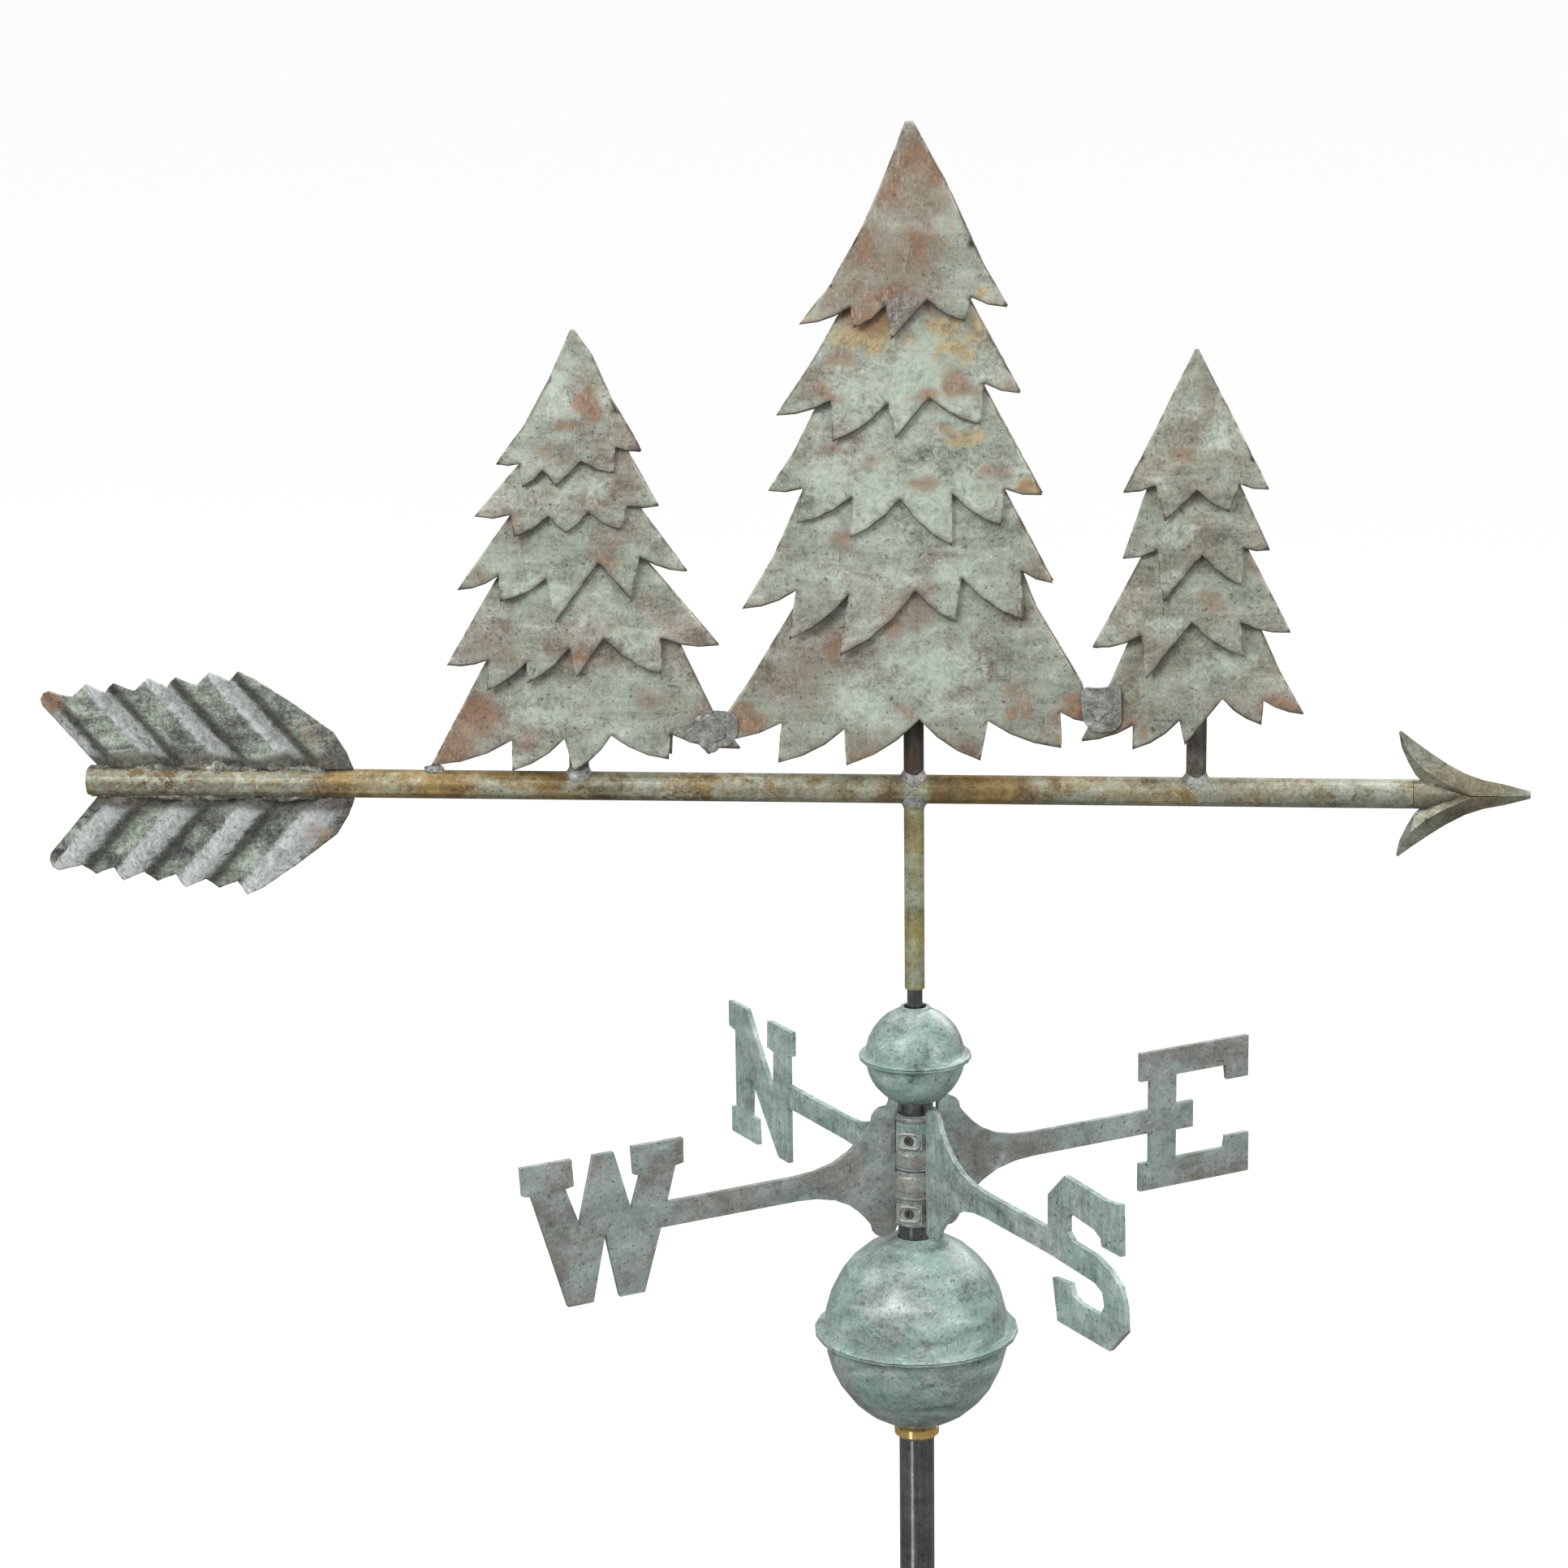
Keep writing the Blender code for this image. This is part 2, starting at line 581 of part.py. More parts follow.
def make_casting(name, letters, own_side, boss_at, boss_height, parent):
    """A collar with a boss for its set screw, joined to its two lettered arms. letters
    pairs each letter's outline with the angle of its arm, in degrees."""
    low = GAP if own_side > 0 else -GAP - COLLAR_HEIGHT
    bore = POLE_HOLE_RADIUS
    high = low + COLLAR_HEIGHT
    round_off = 0.8 * MM
    profile = [
        (bore, high),
        (COLLAR_RADIUS - round_off, high),
        (COLLAR_RADIUS, high - round_off),
        (COLLAR_RADIUS, low + round_off),
        (COLLAR_RADIUS - round_off, low),
        (bore, low),
    ]
    casting = turned(name, profile, CAST_BRASS, parent, steps=32)
    for i, (letter, angle) in enumerate(letters):
        mesh = plate_mesh(f"{name}_plate_{i}", directional_outline(letter, own_side), PLATE_THICKNESS)
        plate = make_object(mesh.name, mesh, CAST_BRASS, parent, helper=True)
        plate.rotation_euler = (0, 0, math.radians(angle))
        add_boolean(casting, plate, "UNION")
    screw_turn = Matrix.Rotation(SCREW_BEARING, 4, "Z")
    boss = bmesh.new()
    bmesh.ops.create_cube(boss, size=1)
    boss_face = COLLAR_RADIUS + BOSS_PROUD
    depth = BOSS_PROUD + COLLAR_WALL / 2
    bmesh.ops.scale(boss, verts=boss.verts, vec=(depth, BOSS_WIDTH, boss_height))
    bmesh.ops.translate(boss, verts=boss.verts, vec=(boss_face - depth / 2, 0, boss_at))
    boss_mesh = mesh_from(boss, f"{name}_boss")
    boss_mesh.transform(screw_turn)
    add_boolean(casting, make_object(boss_mesh.name, boss_mesh, CAST_BRASS, parent, True), "UNION")
    hole_radius = SCREW_RADIUS + GAP
    hole_mesh = rod_mesh(f"{name}_screw_hole", hole_radius, bore - COLLAR_WALL, boss_face + MM, 16)
    lay_along_x(hole_mesh)
    hole_mesh.transform(Matrix.Translation((0, 0, boss_at)))
    hole_mesh.transform(screw_turn)
    hole = make_object(hole_mesh.name, hole_mesh, CAST_BRASS, parent, True)
    add_boolean(casting, hole, "DIFFERENCE")
    screw_end = boss_face - SCREW_SUNK
    screw_mesh = rod_mesh(f"{name}_set_screw", SCREW_RADIUS, bore, screw_end, 16)
    socket_mesh = rod_mesh(
        f"{name}_screw_socket", SCREW_SOCKET_RADIUS, screw_end - SCREW_SOCKET_DEPTH, boss_face + MM, 6
    )
    for mesh in (screw_mesh, socket_mesh):
        lay_along_x(mesh)
        mesh.transform(Matrix.Translation((0, 0, boss_at)))
        mesh.transform(screw_turn)
    smooth(screw_mesh)
    screw = make_object(f"{name}_set_screw", screw_mesh, BLACK_STEEL, parent)
    socket = make_object(f"{name}_screw_socket", socket_mesh, BLACK_STEEL, parent, True)
    add_boolean(screw, socket, "DIFFERENCE")


def make_directionals():
    turntable = make_empty("directionals_axis", (0, 0, ARM_HEIGHT), DIRECTIONALS_TURN)
    make_casting(
        "north_south", ((LETTER_N, 90), (LETTER_S, 270)), 1, UPPER_BOSS_AT, UPPER_BOSS_HEIGHT,
        turntable,
    )
    make_casting(
        "east_west", ((LETTER_E, 0), (LETTER_W, 180)), -1, LOWER_BOSS_AT, LOWER_BOSS_HEIGHT,
        turntable,
    )


# ---------------------------------------------------------------- vane: tubes and head
def make_tubes(vane):
    bore = BEARING_BORE
    tube("bearing_tube", bore, BEARING_RADIUS, -BEARING_BELOW, BEARING_ABOVE, TUBE_COPPER, vane)
    plug_low = BEARING_ABOVE - PLUG_LENGTH
    plug = rod_mesh("thrust_plug", bore - GAP, plug_low, BEARING_ABOVE)
    smooth(plug)
    make_object("thrust_plug", plug, BRIGHT_BRASS, vane)
    arrow = tube(
        "arrow_tube", ARROW_RADIUS - ARROW_WALL, ARROW_RADIUS, -ARROW_BACK, ARROW_FRONT,
        TUBE_COPPER, vane,
    )
    arrow.rotation_euler = (0, math.radians(90), 0)
    cross_mesh = rod_mesh("cross_hole", BEARING_RADIUS + GAP, -2 * ARROW_RADIUS, 2 * ARROW_RADIUS)
    cross = make_object("cross_hole", cross_mesh, TUBE_COPPER, vane, helper=True)
    add_boolean(arrow, cross, "DIFFERENCE")
    for side, x in (("left", LEFT_POST_X), ("right", RIGHT_POST_X)):
        post = tube(
            f"{side}_tree_post", POST_RADIUS - POST_WALL, POST_RADIUS, ARROW_RADIUS + GAP,
            POST_TOP, TUBE_COPPER, vane, steps=20,
        )
        post.location.x = x


def barb_mesh(name, up):
    """A ridged, hooked barb lofted through four-sided sections, from the arrow's front end."""
    bm = bmesh.new()
    rings = []
    for outer, ridge, inner, half in BARB_STATIONS:
        corners = (
            (outer[0], 0, up * outer[1]),
            (ridge[0], -half, up * ridge[1]),
            (inner[0], 0, up * inner[1]),
            (ridge[0], half, up * ridge[1]),
        )
        front = Vector((ARROW_FRONT, 0, 0))
        rings.append([bm.verts.new(front + Vector(corner) * MM) for corner in corners])
    for near, far in zip(rings, rings[1:]):
        for i in range(4):
            bm.faces.new((near[i - 1], near[i], far[i], far[i - 1]))
    bm.faces.new(rings[0])
    bm.faces.new(rings[-1])
    bmesh.ops.recalc_face_normals(bm, faces=bm.faces)
    return mesh_from(bm, name)


def make_arrow_head(vane):
    """Cast in one piece: spigot, socket, cone and two barbs."""
    start = ARROW_FRONT + GAP
    cone_from = start + HEAD_SOCKET_LENGTH
    spigot = ARROW_RADIUS - ARROW_WALL - GAP
    profile = [
        (0, start - HEAD_SPIGOT_LENGTH),
        (spigot, start - HEAD_SPIGOT_LENGTH),
        (spigot, start),
        (ARROW_RADIUS, start),
        (ARROW_RADIUS, cone_from),
        (ARROW_RADIUS * 0.55, cone_from + HEAD_CONE_LENGTH * 0.45),
        (0, cone_from + HEAD_CONE_LENGTH),
    ]
    bm = bmesh.new()
    verts = [bm.verts.new((radius, 0, height)) for radius, height in reversed(profile)]
    for near, far in zip(verts, verts[1:]):
        bm.edges.new((near, far))
    turned_off_the_barbs = Matrix.Rotation(math.radians(3), 3, "Z")
    bmesh.ops.rotate(bm, verts=bm.verts, matrix=turned_off_the_barbs)
    head = make_object("arrow_head", mesh_from(bm, "arrow_head"), CAST_BRASS, vane)
    screw = head.modifiers.new("turn", "SCREW")
    screw.angle = math.tau
    screw.steps = screw.render_steps = 24
    screw.use_merge_vertices = True
    screw.merge_threshold = 0.00001
    head.rotation_euler = (0, math.radians(90), 0)
    for side, up in (("upper", 1), ("lower", -1)):
        barb = make_object(f"{side}_barb", barb_mesh(f"{side}_barb", up), CAST_BRASS, vane, True)
        add_boolean(head, barb, "UNION")


# ---------------------------------------------------------------- vane: pressed sheets
def cut_flat_sheet(outline, planes):
    """A flat face of the outline in the XZ plane, divided along planes given as
    (point on the plane, normal) pairs in X and Z, then split into triangles."""
    bm = bmesh.new()
    bm.faces.new([bm.verts.new((x, 0, z)) for x, z in outline])
    for point, normal in planes:
        geometry = list(bm.verts) + list(bm.edges) + list(bm.faces)
        bmesh.ops.bisect_plane(
            bm, geom=geometry, dist=0.4 * MM, plane_co=(point[0], 0, point[1]),
            plane_no=(normal[0], 0, normal[1]),
        )
    bmesh.ops.triangulate(bm, faces=bm.faces)
    return bm


def face_outwards(bm, side):
    bmesh.ops.recalc_face_normals(bm, faces=bm.faces)
    if sum(face.normal.y for face in bm.faces) * side < 0:
        bmesh.ops.reverse_faces(bm, faces=bm.faces)


def thicken(obj, thickness, offset):
    modifier = obj.modifiers.new("sheet", "SOLIDIFY")
    modifier.thickness = thickness
    modifier.offset = offset


def along_edge(edge, z):
    """Where a side edge, a list of corners in order of height, lies at height z."""
    for (x0, z0), (x1, z1) in zip(edge, edge[1:]):
        if z0 <= z <= z1:
            return x0 + (x1 - x0) * (z - z0) / (z1 - z0)
    return edge[0][0] if z < edge[0][1] else edge[-1][0]


def bowed(corners):
    """The lower edge from tip to tip, its long slopes bowed outwards like pine boughs."""
    points = [corners[0]]
    for (x0, z0), (x1, z1) in zip(corners, corners[1:]):
        length = math.hypot(x1 - x0, z1 - z0)
        steps = 1
        if abs(x1 - x0) > abs(z1 - z0):
            steps = 3 if length > 22 else 2
        for i in range(1, steps + 1):
            share = i / steps
            bow = BOUGH_BOW * 4 * share * (1 - share)
            x = x0 + (x1 - x0) * share - (z1 - z0) * bow
            z = z0 + (z1 - z0) * share + (x1 - x0) * bow
            points.append((x, z))
    return points


def tier_outline(tier):
    foot = bowed([tier["right"][-1], *tier["foot"], tier["left"][0]])
    return scaled([*tier["left"], *tier["right"][:-1], *foot[:-1]])


def sheet_depth(x, z, tier, edge_depth, flatness):
    """How far a tier's sheet stands off the tree's middle plane: least along its side
    edges, more in the middle, and more at its foot, which lies over the tier below."""
    left = scaled(tier["left"])
    right = scaled(reversed(tier["right"]))
    x_left = along_edge(left, z)
    x_right = along_edge(right, z)
    half = (x_right - x_left) / 2
    middle = (x_right + x_left) / 2
    share = min(1.0, abs(x - middle) / half)
    top = left[-1][1]
    foot = min(z for _, z in scaled(tier["foot"]))
    down = min(1.0, max(0.0, (top - z) / (top - foot)))
    rise = RISE_AT_TOP + (RISE_AT_FOOT - RISE_AT_TOP) * down
    rise *= min(1.0, half / FULL_RISE_HALF_WIDTH)
    return edge_depth + rise * (1 - share**2) ** flatness


def make_tree(name, tiers, axis_x, edge_depth, vane):
    for number, tier in enumerate(tiers, 1):
        outline = tier_outline(tier)
        flatness = LOWEST_FLATNESS if number == len(tiers) else 1
        xs = [x for x, _ in outline]
        zs = [z for _, z in outline]
        planes = []
        for i in range(-8, 8):
            x = (i + 0.5) * CUT_ACROSS
            if min(xs) + CUT_CLEAR < x < max(xs) - CUT_CLEAR:
                planes.append(((x, 0), (1, 0)))
        for i in range(20):
            z = i * CUT_UP
            if min(zs) + CUT_CLEAR < z < max(zs) - CUT_CLEAR:
                planes.append(((0, z), (0, 1)))
        for side, face in ((-1, "front"), (1, "back")):
            bm = cut_flat_sheet(outline, planes)
            for vert in bm.verts:
                vert.co.y = side * sheet_depth(vert.co.x, vert.co.z, tier, edge_depth, flatness)
            face_outwards(bm, side)
            part = f"{name}_tier_{number}_{face}"
            mesh = mesh_from(bm, part)
            smooth(mesh)
            sheet = make_object(part, mesh, TREE_COPPER, vane)
            sheet.location.x = axis_x
            thicken(sheet, SHEET_THICKNESS, 1)


def feather_outline():
    """Upper feather, from its nock corner round the toothed edge to the front corner."""
    seam = ARROW_RADIUS / MM + FEATHER_SEAM
    tip = arc(FEATHER_TIP, FEATHER_TIP_RADIUS, 205, 55, 4)
    teeth = []
    for i in range(TEETH):
        peak = (FIRST_TOOTH[0] + i * TOOTH_STEP[0], FIRST_TOOTH[1] + i * TOOTH_STEP[1])
        teeth += [(peak[0] + TOOTH_NOTCH[0], peak[1] + TOOTH_NOTCH[1]), peak]
    nock = (tip[0][0] + (seam - tip[0][1]) / math.tan(FOLD_SLOPE), seam)
    front = [(LAST_TOOTH[0] + x, z) for x, z in FEATHER_FRONT]
    front[-1] = (front[-1][0], seam)
    return scaled([nock, *tip, *teeth, *front])


def fold_height(place):
    """A zigzag across the folds, +1 on even fold lines and -1 on odd ones, which fades out
    past the last tooth."""
    if place <= TEETH:
        return 2 * abs(place % 2 - 1) - 1
    return (2 * abs(TEETH % 2 - 1) - 1) * max(0, TEETH + 1 - place)


def make_feather(name, up, vane):
    """A sheet folded like an accordion along lines that run down to the arrow."""
    across = (-math.sin(FOLD_SLOPE), math.cos(FOLD_SLOPE))
    first = (FIRST_TOOTH[0] * across[0] + FIRST_TOOTH[1] * across[1]) * MM
    pitch = (TOOTH_STEP[0] * across[0] + TOOTH_STEP[1] * across[1]) * MM
    folds = [first + i * pitch for i in range(-1, TEETH + 1)]
    planes = [((across[0] * fold, across[1] * fold), across) for fold in folds]
    bm = cut_flat_sheet(feather_outline(), planes)
    for vert in bm.verts:
        place = (vert.co.x * across[0] + vert.co.z * across[1] - folds[0]) / pitch
        vert.co.y = -FOLD_DEPTH * fold_height(place)
        vert.co.z *= up
    face_outwards(bm, -1)
    feather = make_object(name, mesh_from(bm, name), FEATHER_COPPER, vane)
    feather.location.x = -ARROW_BACK
    thicken(feather, FEATHER_THICKNESS, 0)


def make_link(name, outer, inner, post_x, small_tree, vane):
    """A plate over the place where a small tree and the big tree meet, just clear of both
    sheets. Its corners follow the tree that they lie on."""
    outer = [(post_x + x, z) for x, z in scaled(outer)]
    inner = scaled(inner)
    under = [
        sheet_depth(x - post_x, z, small_tree[-1], SMALL_TREE_EDGE, LOWEST_FLATNESS)
        for x, z in outer
    ]
    under += [sheet_depth(x, z, BIG_TREE[-1], BIG_TREE_EDGE, LOWEST_FLATNESS) for x, z in inner]
    mesh = plate_mesh(name, outer + inner, LINK_THICKNESS)
    link = make_object(name, mesh, FEATHER_COPPER, vane)
    link.location.y = -(max(under) + SHEET_THICKNESS + LINK_CLEARANCE + LINK_THICKNESS / 2)


def make_vane():
    vane = make_empty("vane_axis", (0, 0, ARROW_HEIGHT))
    make_tubes(vane)
    make_arrow_head(vane)
    make_feather("upper_tail_feather", 1, vane)
    make_feather("lower_tail_feather", -1, vane)
    make_tree("left_tree", LEFT_TREE, LEFT_POST_X, SMALL_TREE_EDGE, vane)
    make_tree("big_tree", BIG_TREE, 0.0, BIG_TREE_EDGE, vane)
    make_tree("right_tree", RIGHT_TREE, RIGHT_POST_X, SMALL_TREE_EDGE, vane)
    make_link("left_link_plate", LEFT_LINK_OUTER, LEFT_LINK_INNER, LEFT_POST_X, LEFT_TREE, vane)
    make_link(
        "right_link_plate", RIGHT_LINK_OUTER, RIGHT_LINK_INNER, RIGHT_POST_X, RIGHT_TREE, vane
    )


make_mast()
make_directionals()
make_vane()
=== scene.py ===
# %% [markdown]
# A copper weather vane: three layered fir trees stand on an arrow that turns over two
# copper globes and four compass letters. The engineering model already says where every
# part sits and which body it moves with, so this lesson starts by loading it. Every piece
# made below takes its place from that model and rides on one of its three bodies.

# %% Load the frame
import json
import math

import bmesh
import bpy
import numpy as np
from mathutils import Matrix, Vector, geometry, noise
from mathutils.bvhtree import BVHTree

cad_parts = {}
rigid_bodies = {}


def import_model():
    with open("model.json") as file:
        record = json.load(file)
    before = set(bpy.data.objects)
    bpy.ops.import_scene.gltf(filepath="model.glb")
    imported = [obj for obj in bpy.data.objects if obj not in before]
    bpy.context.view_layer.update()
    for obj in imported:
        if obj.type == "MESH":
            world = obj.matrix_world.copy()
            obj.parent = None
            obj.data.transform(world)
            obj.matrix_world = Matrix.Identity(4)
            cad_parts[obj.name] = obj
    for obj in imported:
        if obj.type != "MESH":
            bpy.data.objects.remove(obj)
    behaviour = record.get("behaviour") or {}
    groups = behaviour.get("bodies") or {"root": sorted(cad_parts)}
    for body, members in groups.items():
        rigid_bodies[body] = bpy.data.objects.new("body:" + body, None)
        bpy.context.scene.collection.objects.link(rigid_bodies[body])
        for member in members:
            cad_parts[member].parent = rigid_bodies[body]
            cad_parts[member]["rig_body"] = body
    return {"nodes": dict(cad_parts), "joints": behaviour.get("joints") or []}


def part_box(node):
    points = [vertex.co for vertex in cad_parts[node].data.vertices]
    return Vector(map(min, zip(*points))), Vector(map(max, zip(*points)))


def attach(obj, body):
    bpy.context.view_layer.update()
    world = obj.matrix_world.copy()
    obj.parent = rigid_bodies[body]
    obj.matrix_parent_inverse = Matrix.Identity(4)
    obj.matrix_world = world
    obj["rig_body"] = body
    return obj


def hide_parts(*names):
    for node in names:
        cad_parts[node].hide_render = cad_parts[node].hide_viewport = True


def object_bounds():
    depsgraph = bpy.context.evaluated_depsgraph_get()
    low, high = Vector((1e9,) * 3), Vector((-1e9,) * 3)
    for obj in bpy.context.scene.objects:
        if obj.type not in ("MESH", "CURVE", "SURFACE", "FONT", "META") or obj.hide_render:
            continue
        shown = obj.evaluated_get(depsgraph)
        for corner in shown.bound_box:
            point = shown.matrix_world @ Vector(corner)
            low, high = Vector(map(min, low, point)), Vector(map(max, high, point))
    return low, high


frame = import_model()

MM = 0.001
cad_low, cad_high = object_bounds()
arrow_low, arrow_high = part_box("arrow_tube")
ARROW_HEIGHT = (arrow_low.z + arrow_high.z) / 2
print("object size in mm:", [round(side / MM, 1) for side in cad_high - cad_low])
print("height of the arrow in mm:", round(ARROW_HEIGHT / MM, 1))

# %% [markdown]
# A long lens from two metres away keeps the proportions of a tall object honest. The
# camera stands a little right of the pole and above the arrow, looking down and left.
# Its three axes are worked out from pitch, yaw and roll, because a matrix built from
# them says exactly where the camera looks without aiming it by eye.

# %% Camera
CAMERA_PLACE = Vector((0.1274, -2.0002, ARROW_HEIGHT + 0.4691))
LENS_MM = 85.7
SENSOR_MM = 36
pitch, yaw, roll = (math.radians(angle) for angle in (13.08, 5.69, 0.72))
level = Vector((math.cos(yaw), math.sin(yaw), 0))
ahead = Vector((-math.sin(yaw) * math.cos(pitch), math.cos(yaw) * math.cos(pitch), -math.sin(pitch)))
upward = level.cross(ahead)
side_axis = level * math.cos(roll) - upward * math.sin(roll)
top_axis = level * math.sin(roll) + upward * math.cos(roll)
lens = bpy.data.cameras.new("camera")
lens.lens = LENS_MM
lens.sensor_width = SENSOR_MM
camera = bpy.data.objects.new("camera", lens)
camera.matrix_world = Matrix.Translation(CAMERA_PLACE) @ Matrix(
    (side_axis, top_axis, -ahead)).transposed().to_4x4()
bpy.context.scene.collection.objects.link(camera)
bpy.context.scene.camera = camera
bpy.context.scene.view_settings.view_transform = "Standard"
print("camera height in mm:", round(CAMERA_PLACE.z / MM))

# %% [markdown]
# Node trees are easier to read as sums. A Wire wraps one socket and gives it the usual
# operators, so `1 - mask` adds a Math node. The reflected forms matter: without them a
# number on the left of the sign would fail. Any other node comes from Finish.node, which
# takes the node's type, its settings and the values or wires of its sockets.

# %% Wires and finishes
class Wire:
    """One shader socket, with the operators that the finishes use."""

    def __init__(self, finish, socket):
        self.finish = finish
        self.socket = socket

    def maths(self, operation, first, second):
        return self.finish.node("ShaderNodeMath", {"operation": operation}, {0: first, 1: second})

    def __add__(self, other):
        return self.maths("ADD", self, other)

    def __radd__(self, other):
        return self.maths("ADD", other, self)

    def __sub__(self, other):
        return self.maths("SUBTRACT", self, other)

    def __rsub__(self, other):
        return self.maths("SUBTRACT", other, self)

    def __mul__(self, other):
        return self.maths("MULTIPLY", self, other)

    def __rmul__(self, other):
        return self.maths("MULTIPLY", other, self)

    def ramp_up(self, low, high):
        """0 below low, 1 above high and a smooth rise between."""
        settings = {"interpolation_type": "SMOOTHSTEP"}
        return self.finish.node("ShaderNodeMapRange", settings, {0: self, 1: low, 2: high})


print("reflected operators:", [name for name in vars(Wire) if name.startswith("__r")])

# %% [markdown]
# A finish is one material. Its methods hide the long names of nodes and sockets, so that
# a patina later reads as a recipe: this grain, stretched so, run through these tones.
# Colours are written as a screen shows them and turned linear once, in paint.

# %% Finishes
def paint(red, green, blue):
    """A screen colour from 0 to 255 as the linear colour that a shader takes."""
    linear = [((c / 255 + 0.055) / 1.055) ** 2.4 for c in (red, green, blue)]
    return (*linear, 1)


class Finish:
    """A material whose nodes are added one call at a time."""

    def __init__(self, name):
        self.material = bpy.data.materials.new(name)
        self.material.use_nodes = True
        self.tree = self.material.node_tree
        self.shader = self.tree.nodes["Principled BSDF"]

    def node(self, kind, settings, values, out=0):
        made = self.tree.nodes.new(kind)
        for key, value in settings.items():
            if key == "stops":
                self.set_stops(made.color_ramp, value)
            else:
                setattr(made, key, value)
        for key, value in values.items():
            self.feed(made.inputs[key], value)
        return Wire(self, made.outputs[out])

    def set_stops(self, ramp, stops):
        while len(ramp.elements) < len(stops):
            ramp.elements.new(0.5)
        for element, (place, colour) in zip(ramp.elements, stops):
            element.position = place
            element.color = colour

    def feed(self, socket, value):
        if isinstance(value, Wire):
            self.tree.links.new(value.socket, socket)
        else:
            socket.default_value = value

    def place(self, seed=0):
        """Where a point is on its piece, in metres."""
        here = self.node("ShaderNodeTexCoord", {}, {}, "Object")
        return self.node("ShaderNodeVectorMath", {"operation": "ADD"}, {0: here, 1: (seed, seed, seed)})

    def stretch(self, place, scale):
        return self.node("ShaderNodeVectorMath", {"operation": "MULTIPLY"}, {0: place, 1: scale})

    def grain(self, place, size, detail=4, roughness=0.6, distortion=0.0):
        """Cloudy noise whose patches are about size millimetres across."""
        values = {"Vector": place, "Scale": 1000 / size, "Detail": detail,
                  "Roughness": roughness, "Distortion": distortion}
        return self.node("ShaderNodeTexNoise", {}, values)

    def tones(self, value, colours):
        """A ramp through colours from dark to light."""
        last = len(colours) - 1
        stops = [(0.12 + 0.76 * i / last, paint(*c)) for i, c in enumerate(colours)]
        return self.node("ShaderNodeValToRGB", {"stops": stops}, {0: value})

    def mix(self, mask, first, second):
        values = {0: mask, 6: first, 7: second}
        return self.node("ShaderNodeMix", {"data_type": "RGBA"}, values, 2)

    def mark(self, name):
        """A number that the mesh holds at each of its points."""
        return self.node("ShaderNodeAttribute", {"attribute_name": name}, {}, "Fac")

    def bump(self, height, depth, strength=1.0):
        values = {"Height": height, "Distance": depth * MM, "Strength": strength}
        return self.node("ShaderNodeBump", {}, values, "Normal")


print("mid grey as a shader takes it:", round(paint(128, 128, 128)[0], 3))

# %% [markdown]
# Patina is paint-thin chemistry: the copper was washed with a salt that turned it mint,
# then rubbed back, so it is cloudy at 40 mm, blotchy at 12 mm, streaked by the brush and
# speckled at 1 mm. One value adds those four sizes of noise and runs through two ramps, a
# warm one and a cool one. A fifth, larger noise picks which ramp shows.

# %% Patina
def patina(name, warm, cool, lean=0.5, streaks=(40, 40, 2.5), spread=1.0, brushing=0.4,
           dents=0.25, roughness=(0.42, 0.66), metallic=0.0, size=1.0, drift=0.0):
    """A finish in two families of tones, and the wires that a richer finish builds on."""
    finish = Finish(name)
    place = finish.place()
    clouds = finish.grain(place, 46 * size, 5, 0.6, 0.4)
    if drift:
        clouds = clouds + finish.node("ShaderNodeSeparateXYZ", {}, {0: place}, "X") * drift
    blotch = finish.grain(place, 13 * size, 6, 0.68, 0.6)
    brushed = finish.stretch(place, tuple(10 / s for s in streaks))
    streak = finish.grain(brushed, 10, 4, 0.65)
    speckle = finish.grain(place, 1.5, 4, 0.75)
    torn = finish.grain(place, 5.5 * size, 8, 0.78, 1.2)
    wash = finish.grain(finish.stretch(place, (0.7, 0.7, 1.5)), 30 * size, 6, 0.62, 0.8)
    value = (0.5 + (wash - 0.5) * (1.25 * spread) + (blotch - 0.5) * (0.55 * spread)
             + (streak - 0.5) * (brushing * spread) + (torn - 0.5) * (0.7 * spread)
             + (speckle - 0.5) * (0.75 * spread))
    which = (clouds + (blotch - 0.5) * 0.35 + (torn - 0.5) * 0.25).ramp_up(lean - 0.13, lean + 0.13)
    colour = finish.mix(which, finish.tones(value, warm), finish.tones(value, cool))
    pits = finish.grain(place, 2.4, 2, 0.5).ramp_up(0.63, 0.70)
    colour = finish.mix(pits * 0.6, colour, paint(66, 64, 58))
    finish.colour = colour
    finish.blotch = blotch
    finish.speckle = speckle
    finish.torn = torn
    finish.where = place
    finish.height = blotch * 0.5 + speckle * 0.35 + streak * 0.3 - pits * 0.5
    low, high = roughness
    finish.feed(finish.shader.inputs["Roughness"], low + (high - low) * 1.6 * (blotch - 0.2))
    finish.shader.inputs["Metallic"].default_value = metallic
    finish.feed(finish.shader.inputs["Normal"], finish.bump(finish.height, dents))
    finish.feed(finish.shader.inputs["Base Color"], colour)
    return finish


def stained(finish, mark, deep, light, amount=0.85, soft=0.2):
    """Two tones laid where the mesh carries this mark, torn by the finish's own noise."""
    here = finish.mark(mark)
    ragged = here + (finish.blotch - 0.5) * 1.1 + (finish.torn - 0.5) * 1.5
    mask = ragged.ramp_up(0.45 - soft, 0.45 + soft) * here.ramp_up(0.02, 0.35) * amount
    stain = finish.mix(finish.torn.ramp_up(0.36, 0.62), paint(*deep), paint(*light))
    finish.colour = finish.mix(mask, finish.colour, stain)


TREE_WARM = ((98, 86, 70), (128, 117, 102), (153, 145, 131), (176, 172, 160), (212, 210, 202))
TREE_COOL = ((104, 110, 96), (138, 145, 131), (163, 172, 158), (186, 196, 182), (214, 221, 210))


